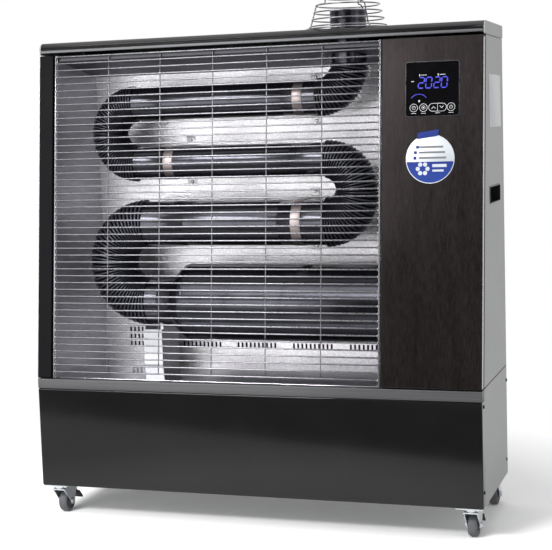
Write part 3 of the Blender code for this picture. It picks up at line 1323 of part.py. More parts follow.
def brake_pedal(corner, swivel):
    """Foot pedal behind the wheel, bored for its pin."""
    tip = (PEDAL_TIP_BEHIND - PEDAL_PIVOT_BEHIND, -PEDAL_PIVOT_ABOVE - PEDAL_TIP_BELOW)
    way = math.degrees(math.atan2(tip[1], tip[0]))
    loop = arc((0, 0), PEDAL_BARREL, way + 90, way + 270, BOSS_POINTS)
    loop += arc(tip, PEDAL_TIP_RADIUS, way - 90, way + 90, PEDAL_TIP_POINTS)
    hole = circle((0, 0), PEDAL_PIN_RADIUS + PLAY, PIN_STEPS)
    frame = swivel @ place(0, *pedal_pivot()) @ SECTION
    half = PEDAL_WIDTH / 2
    arm = as_mesh(outline(f"brake_pedal_{corner}", [loop, hole], -half, half, CAP_BLACK, frame))
    middle = (tip[0] * PEDAL_FOOT_SHARE, tip[1] * PEDAL_FOOT_SHARE)
    foot = arc(middle, PEDAL_FOOT_RADIUS, way + 90, way + 270, PEDAL_TIP_POINTS)
    foot += arc(tip, PEDAL_FOOT_RADIUS, way - 90, way + 90, PEDAL_TIP_POINTS)
    half = PEDAL_FOOT_WIDTH / 2
    fuse(arm, as_mesh(outline(f"pedal_foot_{corner}", [foot], -half, half, CAP_BLACK, frame)))


def castors():
    """Four swivel castors; the front pair has brakes."""
    for depth_name, depth in (("front", CASTOR_FRONT_INSET), ("rear", REAR_CASTOR_DEPTH)):
        for side_name, side in (("left", -1), ("right", 1)):
            corner = f"{depth_name}_{side_name}"
            swivel = place(side * (HALF - CASTOR_SIDE_INSET), depth)
            braked = depth_name == "front"
            castor_plate(corner, swivel)
            castor_fork(corner, swivel, braked)
            castor_wheel(corner, swivel)
            if braked:
                brake_pedal(corner, swivel)


def cabinet():
    """Base, front, sides, back and lid."""
    base_tub()
    lower_front_panel()
    waist_ledge()
    mid_deck()
    left_column()
    right_front_panel()
    rear_cover()
    lid()
    lid_trim_strip()
    for name, side in (("left", -1), ("right", 1)):
        side_panel(f"{name}_side_panel", side)
        lid_end_cap(f"lid_end_cap_{name}", side)
        side_handle(f"side_handle_{name}", side)


def chamber():
    """Liner, reflector, header, floor and wire guard."""
    left_liner()
    burner_bulkhead()
    rear_reflector()
    header_panel()
    chamber_floor()
    guard_wires()
    guard_stays()


def burner_and_fuel():
    """Burner, pump, tank, cap and cable inlet."""
    burner_housing()
    burner_motor()
    burner_fan()
    fuel_pump()
    fuel_tank()
    fuel_cap()
    cable_gland()


cabinet()
chamber()
heat_exchanger()
exhaust_stack()
tube_clamps()
drum_stand()
exhaust_guard()
control_unit()
burner_and_fuel()
castors()
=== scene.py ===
# %% [markdown]
# # A diesel infrared heater, dressed for its portrait
# The heater is a folded steel cabinet on four castors. Behind its wire guard a thin steel
# tube snakes up in front of a bright embossed reflector, and its hot skin shines forward.
# The shapes come packed from CAD and move as the real ones do. This lesson keeps the flat
# sheets, softens their folded edges, models the rounder pieces again with finer curves, and
# gives every piece the finish of its real material.

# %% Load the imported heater
import json
import math

import bmesh
import bpy
from mathutils import Matrix, Vector

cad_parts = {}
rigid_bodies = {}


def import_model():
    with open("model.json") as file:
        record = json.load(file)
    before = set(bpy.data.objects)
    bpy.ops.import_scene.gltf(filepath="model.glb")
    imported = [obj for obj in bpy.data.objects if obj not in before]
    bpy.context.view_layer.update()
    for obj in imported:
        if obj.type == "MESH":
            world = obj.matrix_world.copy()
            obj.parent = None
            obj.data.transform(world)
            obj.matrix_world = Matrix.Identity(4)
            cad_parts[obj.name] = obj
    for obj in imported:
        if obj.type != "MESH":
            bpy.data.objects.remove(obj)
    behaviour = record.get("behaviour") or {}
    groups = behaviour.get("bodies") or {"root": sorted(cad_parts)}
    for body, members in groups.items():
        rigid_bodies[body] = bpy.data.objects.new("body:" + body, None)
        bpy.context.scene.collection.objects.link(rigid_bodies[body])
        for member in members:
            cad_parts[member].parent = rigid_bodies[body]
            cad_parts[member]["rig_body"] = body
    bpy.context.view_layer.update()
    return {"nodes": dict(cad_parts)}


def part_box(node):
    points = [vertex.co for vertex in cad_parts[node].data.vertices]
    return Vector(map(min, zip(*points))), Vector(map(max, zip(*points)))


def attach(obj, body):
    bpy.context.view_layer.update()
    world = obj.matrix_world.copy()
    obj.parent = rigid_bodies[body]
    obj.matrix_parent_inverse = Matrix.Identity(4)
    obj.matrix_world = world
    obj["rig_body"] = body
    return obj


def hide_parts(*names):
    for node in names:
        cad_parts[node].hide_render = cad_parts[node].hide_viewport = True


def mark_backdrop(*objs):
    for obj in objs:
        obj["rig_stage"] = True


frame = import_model()
nodes = frame["nodes"]

# %% [markdown]
# ## The camera
# The photograph was taken by a long lens standing to the right of the heater and a little
# below its lid. Its place, turn and focal length were found by matching the cabinet's own
# corners, so what is modelled can be laid over the photograph corner by corner. A camera's
# matrix is its right, its up and the way behind it, so those three are worked out from yaw,
# pitch and roll.

# %% Make the camera
PHOTO_WIDTH = 552
FOCAL_PIXELS = 1390.39
CAMERA_PLACE = (0.974128, -2.881909, 0.851520)
YAW, PITCH, ROLL = -0.3213759, -0.1063644, -0.0312035
SENSOR = 36.0


def placed(name, data):
    """A new object in the scene."""
    made = bpy.data.objects.new(name, data)
    bpy.context.scene.collection.objects.link(made)
    return made


forward = Vector((math.sin(YAW) * math.cos(PITCH), math.cos(YAW) * math.cos(PITCH),
                  math.sin(PITCH)))
level_right = Vector((math.cos(YAW), -math.sin(YAW), 0))
level_up = level_right.cross(forward)
right = level_right * math.cos(ROLL) + level_up * math.sin(ROLL)
up = level_up * math.cos(ROLL) - level_right * math.sin(ROLL)
lens = bpy.data.cameras.new("portrait_camera")
lens.sensor_fit = "HORIZONTAL"
lens.sensor_width = SENSOR
lens.lens = FOCAL_PIXELS / PHOTO_WIDTH * SENSOR
camera = placed("portrait_camera", lens)
turn = Matrix((right, up, -forward)).transposed().to_4x4()
camera.matrix_world = Matrix.Translation(CAMERA_PLACE) @ turn
bpy.context.scene.camera = camera
print("lens:", round(lens.lens, 2), "mm")

# %% [markdown]
# ## Colours and nodes
# A colour picked from a screen is an sRGB value, and the renderer works in linear light, so
# every hex value goes through one function. Each finish is a small tree of nodes, read on
# the piece's own coordinates in metres. One helper adds a node, sets it up and joins it.
# All finishes end alike, with two colours mixed by a share, a roughness and a relief, so
# that last step is written once.

# %% Colour and node helpers
def linear(colour):
    """An sRGB hex value as linear red, green, blue and alpha."""
    parts = [int(colour[i:i + 2], 16) / 255 for i in (1, 3, 5)]
    return [c / 12.92 if c <= 0.04045 else ((c + 0.055) / 1.055) ** 2.4 for c in parts] + [1.0]


def add(tree, kind, settings=None, inputs=None):
    """Add a node. Inputs are values, hex colours, or nodes and sockets to link from."""
    made = tree.nodes.new(kind)
    for name, value in (settings or {}).items():
        setattr(made, name, value)
    for name, value in (inputs or {}).items():
        if isinstance(value, bpy.types.Node):
            value = value.outputs[0]
        if isinstance(value, bpy.types.NodeSocket):
            tree.links.new(value, made.inputs[name])
        else:
            made.inputs[name].default_value = linear(value) if isinstance(value, str) else value
    return made


def start_finish(name, roughness, metallic=0.0, **sockets):
    """A material with one Principled shader, and the place on the piece in metres."""
    material = bpy.data.materials.new(name)
    material.use_nodes = True
    tree = material.node_tree
    shader = tree.nodes["Principled BSDF"]
    shader.inputs["Roughness"].default_value = roughness
    shader.inputs["Metallic"].default_value = metallic
    for socket, value in sockets.items():
        shader.inputs[socket.replace("_", " ")].default_value = value
    return material, tree, shader, add(tree, "ShaderNodeTexCoord").outputs["Object"]


def cover(tree, shader, share, colour, shade, rough, height, depth):
    """Join a finish to its shader: a share of two colours, a roughness, and a relief."""
    tint = add(tree, "ShaderNodeMix", {"data_type": "RGBA"}, {0: share, 6: colour, 7: shade})
    relief = add(tree, "ShaderNodeBump", None,
                 {"Height": height, "Strength": 1.0, "Distance": depth})
    tree.links.new(tint.outputs[2], shader.inputs["Base Color"])
    tree.links.new(rough.outputs[0], shader.inputs["Roughness"])
    tree.links.new(relief.outputs[0], shader.inputs["Normal"])
    return tint.outputs[2]


# %% [markdown]
# ## Finishes of the cabinet
# Most of the cabinet is cold-rolled steel sheet, sprayed and baked. Sprayed paint never
# dries flat: it keeps a soft orange peel a few millimetres across, which bends reflections
# a little. The gloss black is a stove enamel, the silver a metallic powder coat with a fine
# flake, and the dark post has a satin powder coat. In a Map Range node, inputs 1 and 2 are
# the range that comes in, and 3 and 4 the range that goes out.

# %% Sprayed and baked paint
def sprayed(name, colour, shade, roughness, peel_mm, peel_depth, flake=0.0, shine=0.5):
    """Baked paint: a soft orange peel, a faint cloud in its colour, and a fine flake if any."""
    material, tree, shader, place = start_finish(name, roughness, flake, Specular_IOR_Level=shine)
    cloud = add(tree, "ShaderNodeTexNoise", None, {"Vector": place, "Scale": 9, "Detail": 3})
    grain = add(tree, "ShaderNodeTexNoise", None, {"Vector": place, "Scale": 700, "Detail": 2})
    soft = add(tree, "ShaderNodeMapRange", None, {0: cloud, 1: 0.3, 2: 0.7, 4: 0.65})
    both = add(tree, "ShaderNodeMath", {"operation": "MULTIPLY_ADD"}, {0: grain, 1: 0.35, 2: soft})
    rough = add(tree, "ShaderNodeMapRange", None,
                {0: both, 3: roughness * 0.88, 4: roughness * 1.15})
    peel = add(tree, "ShaderNodeTexNoise", None,
               {"Vector": place, "Scale": 1000 / peel_mm, "Detail": 1.5, "Roughness": 0.4})
    cover(tree, shader, both, colour, shade, rough, peel, peel_depth)
    return material


enamel_black = sprayed("black_stove_enamel", "#131213", "#181718", 0.10, 4.0, 0.00002, shine=0.3)
powder_silver = sprayed("silver_powder_coat", "#838485", "#919293", 0.42, 2.2, 0.00005, flake=0.35)
powder_charcoal = sprayed("charcoal_powder_coat", "#060608", "#0a0a0d", 0.6, 1.6, 0.00005,
                          shine=0.08)
tank_paint = sprayed("grey_tank_primer", "#5b5e60", "#686b6c", 0.55, 2.0, 0.00006)
motor_paint = sprayed("black_motor_paint", "#1c1c1d", "#262627", 0.5, 1.5, 0.00008)
print("sprayed finishes:", 5)

# %% [markdown]
# ## Brushed and rolled steel
# Brushing drags a belt of grit along the sheet and leaves hairlines. They are finer than a
# pixel here, so they are drawn about a millimetre apart and long, as coarse as they need to
# be to show. A hairline is noise pulled out along one axis: many repeats per metre across
# it and few along it. The front panel is the same sheet tinted brown-black, and its
# hairlines lean back with it. The trim and the ledge have a satin lacquer, which is why
# they are less metallic.

# %% Hairline steel
def hairline(name, colour, shade, roughness, per_metre, depth, metallic=1.0, lean=0.0, broad=0.4):
    """Sheet brushed along one axis: streaks in its colour, roughness and surface."""
    material, tree, shader, place = start_finish(name, roughness, metallic)
    along = add(tree, "ShaderNodeMapping", None,
                {"Vector": place, "Scale": per_metre, "Rotation": (lean, 0, 0)})
    fine = add(tree, "ShaderNodeTexNoise", None,
               {"Vector": along, "Scale": 1, "Detail": 4, "Roughness": 0.7})
    along = add(tree, "ShaderNodeMapping", None,
                {"Vector": place, "Scale": [value / 9 for value in per_metre],
                 "Rotation": (lean, 0, 0)})
    wide = add(tree, "ShaderNodeTexNoise", None, {"Vector": along, "Scale": 1, "Detail": 2})
    soft = add(tree, "ShaderNodeMapRange", None, {0: wide, 1: 0.3, 2: 0.7, 4: broad})
    streak = add(tree, "ShaderNodeMath", {"operation": "MULTIPLY_ADD"},
                 {0: fine, 1: 1.0 - broad, 2: soft})
    share = add(tree, "ShaderNodeMapRange", None, {0: streak, 1: 0.25, 2: 0.75})
    rough = add(tree, "ShaderNodeMapRange", None,
                {0: streak, 1: 0.25, 2: 0.75, 3: roughness * 0.8, 4: roughness * 1.25})
    cover(tree, shader, share, colour, shade, rough, streak, depth)
    return material


UPRIGHT, LENGTHWISE = (420, 420, 8), (10, 900, 900)
hairline_brown = hairline("tinted_hairline_steel", "#0f0b0c", "#251e1e", 0.34, UPRIGHT, 0.00002,
                          metallic=0.75, lean=math.radians(6.66), broad=0.12)
brushed_steel = hairline("brushed_stainless", "#424245", "#545457", 0.30, LENGTHWISE, 0.00002)
trim_steel = hairline("satin_trim_stainless", "#48494b", "#58595b", 0.38, LENGTHWISE, 0.00002,
                      metallic=0.5)
ledge_steel = hairline("satin_ledge_stainless", "#424244", "#4f4f51", 0.42, LENGTHWISE, 0.00002,
                       metallic=0.4)
zinc_sheet = hairline("bright_zinc_sheet", "#a2a3a7", "#bcbdc0", 0.42, (700, 700, 12), 0.00001)
strap_steel = hairline("heat_tinted_strap", "#847876", "#a49b9a", 0.40, (9, 600, 9), 0.00001)
print("hairline finishes:", 6)

# %% [markdown]
# ## Bright metal of the chamber
# The wall behind the tubes is aluminium rolled with a stucco emboss, small soft pits that
# stiffen thin sheet and scatter the heat. The side wall and floor are smooth bright steel,
# and the guard is drawn wire with a nickel and chrome plate. Where a sheet has pits, its
# colour follows them, and elsewhere it follows the faint clouds of the rolling.

# %% Stucco, mirror sheet and plate
def rolled_bright(name, colour, shade, roughness, cell_mm, depth, cloud_scale=6, metallic=1.0):
    """Bright rolled sheet, with soft embossed pits where a cell size is given."""
    material, tree, shader, place = start_finish(name, roughness, metallic)
    height = add(tree, "ShaderNodeTexNoise", None,
                 {"Vector": place, "Scale": cloud_scale, "Detail": 4})
    rough = add(tree, "ShaderNodeMapRange", None,
                {0: height, 1: 0.3, 2: 0.7, 3: roughness * 0.85, 4: roughness * 1.2})
    low, high = 0.3, 0.7
    if cell_mm:
        height = add(tree, "ShaderNodeTexVoronoi", {"feature": "SMOOTH_F1"},
                     {"Vector": place, "Scale": 1000 / cell_mm, "Smoothness": 0.6})
        low, high, colour, shade = 0.05, 0.45, shade, colour
    share = add(tree, "ShaderNodeMapRange", None, {0: height, 1: low, 2: high})
    cover(tree, shader, share, colour, shade, rough, height, depth)
    return material


stucco = rolled_bright("stucco_aluminium", "#dad8dc", "#ffffff", 0.40, 4.4, 0.0007, metallic=0.75)
liner_steel = rolled_bright("smooth_liner_steel", "#bdbdc4", "#cdcdd4", 0.42, 0, 0.00004,
                            metallic=0.8)
floor_steel = rolled_bright("polished_floor_steel", "#cfced2", "#e3e2e6", 0.11, 0, 0.00006)
# Painted shade: the header's steel is darker than bare steel, for the shade under the lid and the
# dark it mirrors.
header_steel = rolled_bright("dark_header_steel", "#66656e", "#7d7c86", 0.46, 0, 0.00006)
guard_chrome = rolled_bright("dull_chromed_wire", "#707074", "#8a8a8e", 0.28, 0, 0.00001, 300)
stay_steel = rolled_bright("dull_stay_wire", "#6c6a6d", "#848286", 0.36, 0, 0.00001, 300)
chrome = rolled_bright("bright_chromed_wire", "#7b7b7f", "#97979b", 0.14, 0, 0.00001, 300)
zinc = rolled_bright("blue_white_zinc_plate", "#c3c7cb", "#e2e4e6", 0.25, 1.5, 0.00002, 90)
galvanised = rolled_bright("galvanised_sheet", "#a3a7a9", "#c6c9ca", 0.42, 9.0, 0.00003, 60)
cast_alloy = rolled_bright("cast_aluminium", "#9fa1a2", "#b4b6b7", 0.5, 1.2, 0.0002, 40)
brass = rolled_bright("machined_brass", "#b08a3e", "#c9a355", 0.25, 0, 0.00002, 60)
# Painted shade: a near-black steel for the inside of the rear cover.
painted_shade_steel = rolled_bright("painted_shade_inner_steel", "#1d1d1f", "#2a2a2c", 0.5, 0, 0.00004)
# Painted shade: a dull dark steel for the header's upright lip.
painted_shade_lip = rolled_bright("painted_shade_lip_steel", "#3c3c3f", "#49494c", 0.5, 0, 0.00004)
screw_black = rolled_bright("blackened_screw_steel", "#1a1a1c", "#29292b", 0.32, 0, 0.00002, 200)
print("bright metals:", 14)

# %% [markdown]
# ## Hot steel
# The drum and tubes have a satin heat-proof coat that has turned blue-black, with long soft
# streaks from rolling. The pleated bends are the same steel with a matt black coat, and the
# valleys of their pleats are painted near black as shade, so only the crests show light. Where
# a crest is, comes with the bend's mesh.

# %% Heat-proof coats
def heat_coat(name, colour, shade, roughness, metallic, depth, valley_shade_source=None):
    """A heat-proof coat: rolled streaks along X, heat clouds, and painted shade off the crests
    where given.
    """
    material, tree, shader, place = start_finish(name, roughness, metallic)
    cloud = add(tree, "ShaderNodeTexNoise", None, {"Vector": place, "Scale": 14, "Detail": 4})
    soft = add(tree, "ShaderNodeMapRange", None, {0: cloud, 1: 0.3, 2: 0.7, 4: 0.5})
    along = add(tree, "ShaderNodeMapping", None, {"Vector": place, "Scale": (5, 260, 260)})
    roll = add(tree, "ShaderNodeTexNoise", None, {"Vector": along, "Scale": 1, "Detail": 3})
    tone = add(tree, "ShaderNodeMath", {"operation": "MULTIPLY_ADD"}, {0: roll, 1: 0.5, 2: soft})
    share = add(tree, "ShaderNodeMapRange", None, {0: tone, 1: 0.2, 2: 0.8})
    rough = add(tree, "ShaderNodeMapRange", None,
                {0: tone, 1: 0.2, 2: 0.8, 3: roughness * 0.8, 4: roughness * 1.25})
    tooth = add(tree, "ShaderNodeTexNoise", None, {"Vector": place, "Scale": 900, "Detail": 2})
    skin = cover(tree, shader, share, colour, shade, rough, tooth, depth)
    # Painted shade: the pleats' valleys go near black, and the crests keep the coat.
    if valley_shade_source:
        crest = add(tree, "ShaderNodeAttribute", {"attribute_name": valley_shade_source})
        painted_shade = add(tree, "ShaderNodeMapRange", None, {0: crest.outputs["Fac"], 1: 0.55})
        shaded_skin = add(tree, "ShaderNodeMix", {"data_type": "RGBA"}, {0: painted_shade, 6: "#050506", 7: skin})
        tree.links.new(shaded_skin.outputs[2], shader.inputs["Base Color"])
    return material


tube_coat = heat_coat("blued_tube_steel", "#2e2e33", "#424248", 0.19, 0.9, 0.00001)
# The bends carry painted shade in their pleats' valleys.
bend_coat = heat_coat("pleated_bend_valley_shade", "#3d3d45", "#53535c", 0.34, 0.7, 0.00003, "crest")
print("heat coats:", 2)

# %% [markdown]
# ## Plastics, rubber and glass
# Handles, pedals and the gland are injection-moulded ABS and nylon. Their moulds are spark
# eroded, which leaves a fine dull grain. The tyres are thermoplastic rubber, and the touch
# control is a black acrylic face, polished and flat.

# %% Mouldings and the control's face
def moulded(name, colour, shade, roughness, grain_mm, depth, **sockets):
    """A moulded plastic with the fine grain of a spark-eroded mould."""
    material, tree, shader, place = start_finish(name, roughness, 0.0, **sockets)
    grain = add(tree, "ShaderNodeTexVoronoi", {"feature": "SMOOTH_F1"},
                {"Vector": place, "Scale": 1000 / grain_mm, "Smoothness": 0.8})
    cloud = add(tree, "ShaderNodeTexNoise", None, {"Vector": place, "Scale": 35, "Detail": 3})
    share = add(tree, "ShaderNodeMapRange", None, {0: cloud, 1: 0.3, 2: 0.7})
    rough = add(tree, "ShaderNodeMapRange", None,
                {0: grain, 3: roughness * 0.9, 4: roughness * 1.15})
    cover(tree, shader, share, colour, shade, rough, grain, depth)
    return material


abs_black = moulded("grained_black_abs", "#08080a", "#0f0f11", 0.30, 0.9, 0.00005)
nylon_black = moulded("black_nylon", "#121213", "#1b1b1c", 0.5, 1.2, 0.00006)
cap_red = moulded("red_moulded_cap", "#8f1e18", "#a52a22", 0.42, 1.0, 0.00006)
tyre_rubber = moulded("grey_tyre_rubber", "#47484b", "#5a5b5e", 0.62, 1.4, 0.0001)
# Painted shadow: a black for the cabinet's seam gaps.
gap_shadow_black = moulded("painted_gap_shadow", "#0a0a0a", "#131313", 0.8, 0.8, 0.00008)
wheel_nylon = moulded("dark_wheel_nylon", "#1d1d20", "#2a2a2d", 0.4, 1.2, 0.00005)
control_face = moulded("polished_black_acrylic", "#08080a", "#0c0c0e", 0.06, 3.0, 0.0,
                       Coat_Weight=0.4)
board_green = moulded("green_circuit_board", "#0c3a22", "#11502f", 0.4, 2.0, 0.00003)
print("mouldings:", 8)

# %% [markdown]
# ## Tools for modelling
# Three ways of shaping cover this heater. A folded sheet from the CAD keeps its shape and
# only needs the small radius that every real fold has, so a copy is welded, bevelled and
# given face-weighted normals. A round piece is a profile spun about an axis. A rounded
# block is a cube whose edges are bevelled. Operators act on whatever is selected, so each
# helper starts by selecting nothing.

# %% Selecting and finishing
WELD = 0.00002


def select_nothing():
    """Leave edit mode, let new objects be seen, and drop every selection."""
    if bpy.context.object and bpy.context.object.mode != "OBJECT":
        bpy.ops.object.mode_set(mode="OBJECT")
    bpy.context.view_layer.update()
    bpy.ops.object.select_all(action="DESELECT")


def hold(*pieces):
    """Select these pieces alone, the first one active."""
    select_nothing()
    for piece in pieces:
        piece.select_set(True)
    bpy.context.view_layer.objects.active = pieces[0]


def edit(piece):
    """Open a piece for editing with all of it selected."""
    hold(piece)
    bpy.ops.object.mode_set(mode="EDIT")
    bpy.ops.mesh.select_all(action="SELECT")


def turn_outwards():
    """Point every face of the open piece outwards, and close it."""
    bpy.ops.mesh.select_all(action="SELECT")
    bpy.ops.mesh.normals_make_consistent(inside=False)
    bpy.ops.object.mode_set(mode="OBJECT")


def round_edges(piece, width, steps, angle):
    """A Bevel modifier for the edges sharper than an angle in degrees."""
    bevel = piece.modifiers.new("rounded_edges", "BEVEL")
    bevel.limit_method = "ANGLE"
    bevel.angle_limit = math.radians(angle)
    bevel.width = width
    bevel.segments = steps


def apply_modifiers(piece):
    """Make a piece's modifiers part of its mesh, in their order."""
    hold(piece)
    for modifier in list(piece.modifiers):
        bpy.ops.object.modifier_apply(modifier=modifier.name)


def settle(piece, matrix=None, angle=35):
    """Put a finished piece in its place, with its place in its mesh, and smooth its rounds."""
    hold(piece)
    if matrix is not None:
        piece.matrix_world = matrix @ piece.matrix_world
    bpy.ops.object.transform_apply(location=True, rotation=True, scale=True)
    bpy.ops.object.shade_smooth_by_angle(angle=math.radians(angle))
    return piece


def dress(piece, body, *materials):
    """Give a piece its materials and let it ride on a body."""
    piece.data.materials.clear()
    for material in materials:
        piece.data.materials.append(material)
    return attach(piece, body)


def join(name, pieces):
    """Several pieces made one object."""
    hold(*pieces)
    bpy.ops.object.join()
    joined = bpy.context.object
    joined.name = name
    joined.data.name = name
    return joined


# %% Softened copies of folded sheet
def softened(node, material, fold=0.0007, steps=2):
    """A copy of a CAD sheet with the small radius of its folds, in place of the sheet."""
    piece = placed(node + "_dressed", nodes[node].data.copy())
    edit(piece)
    bpy.ops.mesh.remove_doubles(threshold=WELD)
    bpy.ops.mesh.dissolve_limited(angle_limit=math.radians(0.5))
    bpy.ops.object.mode_set(mode="OBJECT")
    round_edges(piece, fold, steps, 28)
    weigh = piece.modifiers.new("even_shading", "WEIGHTED_NORMAL")
    weigh.keep_sharp = True
    bpy.ops.object.shade_smooth_by_angle(angle=math.radians(40))
    apply_modifiers(piece)
    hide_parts(node)
    return dress(piece, nodes[node]["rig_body"], material)


# %% Spun pieces and rounded blocks
def drawn_line(name, points):
    """A line through points, drawn by extruding one vertex from each to the next."""
    select_nothing()
    bpy.ops.mesh.primitive_plane_add(size=0.001, location=(0, 0, 0))
    piece = bpy.context.object
    piece.name = name
    bpy.ops.object.mode_set(mode="EDIT")
    bpy.ops.mesh.select_mode(type="VERT")
    bpy.ops.mesh.merge(type="CENTER")
    bpy.ops.transform.translate(value=points[0])
    for before, after in zip(points, points[1:]):
        step = tuple(b - a for a, b in zip(before, after))
        bpy.ops.mesh.extrude_region_move(TRANSFORM_OT_translate={"value": step})
    bpy.ops.mesh.select_all(action="SELECT")
    return piece


def spun(name, profile, steps=64, matrix=Matrix.Identity(4), closed=False):
    """Spin (radius, height) points round Z, then put the piece where the matrix says."""
    loop = profile + [profile[0]] if closed else profile
    drawn = drawn_line(name, [(radius, 0, height) for radius, height in loop])
    bpy.ops.mesh.remove_doubles(threshold=WELD / 2)
    bpy.ops.mesh.select_all(action="SELECT")
    bpy.ops.mesh.spin(steps=steps, angle=2 * math.pi, center=(0, 0, 0), axis=(0, 0, 1))
    bpy.ops.mesh.select_all(action="SELECT")
    bpy.ops.mesh.remove_doubles(threshold=WELD / 2)
    turn_outwards()
    return settle(drawn, matrix)


def rounded_block(name, low, high, radius, steps=2, matrix=None):
    """A cube at its size and place, with its edges bevelled."""
    select_nothing()
    middle = [(a + b) / 2 for a, b in zip(low, high)]
    size = [b - a for a, b in zip(low, high)]
    bpy.ops.mesh.primitive_cube_add(size=1, location=middle, scale=size)
    piece = bpy.context.object
    piece.name = name
    bpy.ops.object.transform_apply(location=True, rotation=True, scale=True)
    edit(piece)
    bpy.ops.mesh.bevel(offset=radius, segments=steps, affect="EDGES")
    bpy.ops.object.mode_set(mode="OBJECT")
    return settle(piece, matrix)


# %% [markdown]
# ## Sizes that the new pieces share
# The new pieces stand exactly where the CAD's do, so their sizes are read off the CAD's own
# nodes where that is possible. The front leans back by 83 millimetres over its height, and
# what lies on it is placed in a leaning frame that starts at the top of the ledge.

# %% Read the shared sizes
front_low, front_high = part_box("lower_front_panel")
lid_low, lid_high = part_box("lid")
stack_low, stack_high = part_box("exhaust_stack")
FRONT, HALF = front_low.y, front_high.x
LEDGE_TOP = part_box("waist_ledge")[1].z
LID_TOP = lid_high.z
TUBE_Y = (stack_low.y + stack_high.y) / 2
STACK_X = (stack_low.x + stack_high.x) / 2
CHAMBER_LEFT, CHAMBER_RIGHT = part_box("left_liner")[1].x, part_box("burner_bulkhead")[0].x
REFLECTOR_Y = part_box("rear_reflector")[0].y
LID_DEPTH, LEAN_BACK = 0.027, 0.083
UPPER_HEIGHT = LID_TOP - LID_DEPTH - LEDGE_TOP
LEAN = math.atan2(LEAN_BACK, UPPER_HEIGHT)
SLOPE = math.hypot(LEAN_BACK, UPPER_HEIGHT)
leaning = Matrix.Translation((0, FRONT, LEDGE_TOP)) @ Matrix.Rotation(-LEAN, 4, "X")
facing_right, facing_left = (Matrix.Rotation(s * math.pi / 2, 4, "Y") for s in (1, -1))
facing_front, facing_back = (Matrix.Rotation(s * math.pi / 2, 4, "X") for s in (1, -1))
print("front:", round(FRONT, 4), "tube depth:", round(TUBE_Y, 4))
print("lean:", round(math.degrees(LEAN), 3))


# %% [markdown]
# ## The folded sheets
# Nothing on a folded cabinet has a knife edge: the press leaves a radius of about the
# sheet's thickness, and that thin curve is what catches the light along every seam. The
# flat pieces are therefore softened copies, each in its own paint.

# %% Dress the cabinet's sheets
sheets = {
    "base_tub": powder_silver, "lower_front_panel": enamel_black, "waist_ledge": ledge_steel,
    "left_side_panel": powder_silver, "right_side_panel": powder_silver,
    "left_column": powder_charcoal, "right_front_panel": hairline_brown,
    "rear_cover": powder_silver, "lid_end_cap_left": powder_silver,
    "lid_end_cap_right": powder_silver, "side_handle_left": abs_black,
    "side_handle_right": abs_black, "control_housing": brushed_steel, "left_liner": liner_steel,
    "burner_bulkhead": liner_steel, "header_panel": header_steel, "chamber_floor": floor_steel,
    "drum_stand": zinc_sheet, "lid_trim_strip": trim_steel,
}
dressed = {}
for node, material in sheets.items():
    thin = node in ("left_liner", "burner_bulkhead")
    dressed[node] = softened(node, material, 0.0004 if thin else 0.0007)
print("softened sheets:", len(sheets))

# %% Dress what keeps its CAD shape
kept = {
    "mid_deck": galvanised, "control_board": board_green,
    "burner_housing": cast_alloy, "burner_motor": motor_paint, "burner_fan": galvanised,
    "fuel_pump": brass, "fuel_tank": tank_paint,
}
for node, material in kept.items():
    nodes[node].data.materials.clear()
    nodes[node].data.materials.append(material)
print("kept nodes:", len(kept))

# %% [markdown]
# ## Painted shade and vent slots
# The inside of the rear cover is painted near black as shade, and through the reflector's
# slots one looks at that painted shade. The header's upright lip is painted dark as shade as
# well. Both are picked by their normals, since they are the faces that look forward. The
# slots are punched wider than the CAD has them, so their end walls are moved apart.

# %% Painted shade inside the rear cover and on the header's lip
for node, painted_shade in (("rear_cover", painted_shade_steel), ("header_panel", painted_shade_lip)):
    sheet = dressed[node].data
    sheet.materials.append(painted_shade)
    # Faces that look forward take the painted shade material.
    for face in sheet.polygons:
        face.material_index = int(face.normal.y < -0.9)
    print(node, "bare faces:", sum(face.material_index for face in sheet.polygons))

# %% The reflector, its slots filed open
FILED, SLOT_LENGTH, RIM = 0.0007, 0.016, 0.02
reflector = placed("rear_reflector_filed", nodes["rear_reflector"].data.copy())
edit(reflector)
bpy.ops.mesh.remove_doubles(threshold=WELD)
bpy.ops.object.mode_set(mode="OBJECT")
reflector_low, reflector_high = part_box("rear_reflector")
filed = {}
for wall in reflector.data.polygons:
    corners = [reflector.data.vertices[i] for i in wall.vertices]
    levels = [corner.co.z for corner in corners]
    upright = abs(wall.normal.x) > 0.9 and max(levels) - min(levels) < SLOT_LENGTH
    if upright and reflector_low.x + RIM < corners[0].co.x < reflector_high.x - RIM:
        filed.update({corner.index: wall.normal.x for corner in corners})
for index, facing in filed.items():
    reflector.data.vertices[index].co.x -= FILED * facing
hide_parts("rear_reflector")
dress(reflector, "cabinet", stucco)
print("slot corners moved:", len(filed))

# %% [markdown]
# ## The lid
# The lid is one black enamelled sheet, rolled over a round former so its front is a bullnose
# and its back a small bend. It is drawn as a section of the outer skin, extruded along the
# heater's length, given its thickness by a Solidify modifier, and cut for the stack with a
# Boolean.

# %% Extrude the lid's section
SHEET = 0.0012
NOSE, BACK_BEND, LIP = 0.016, 0.005, 0.0102


def section_piece(name, points, start, end, grow):
    """A sheet through (y, z) points along the heater, thickened to one side of them."""
    piece = drawn_line(name, [(start, y, z) for y, z in points])
    bpy.ops.mesh.extrude_region_move(TRANSFORM_OT_translate={"value": (end - start, 0, 0)})
    turn_outwards()
    wall = piece.modifiers.new("sheet", "SOLIDIFY")
    wall.thickness = SHEET
    wall.offset = grow
    return piece


def arc_points(centre, radius, first, last, count):
    """Points along an arc, in degrees."""
    turns = [math.radians(first + (last - first) * i / count) for i in range(count + 1)]
    return [(centre[0] + radius * math.cos(t), centre[1] + radius * math.sin(t)) for t in turns]


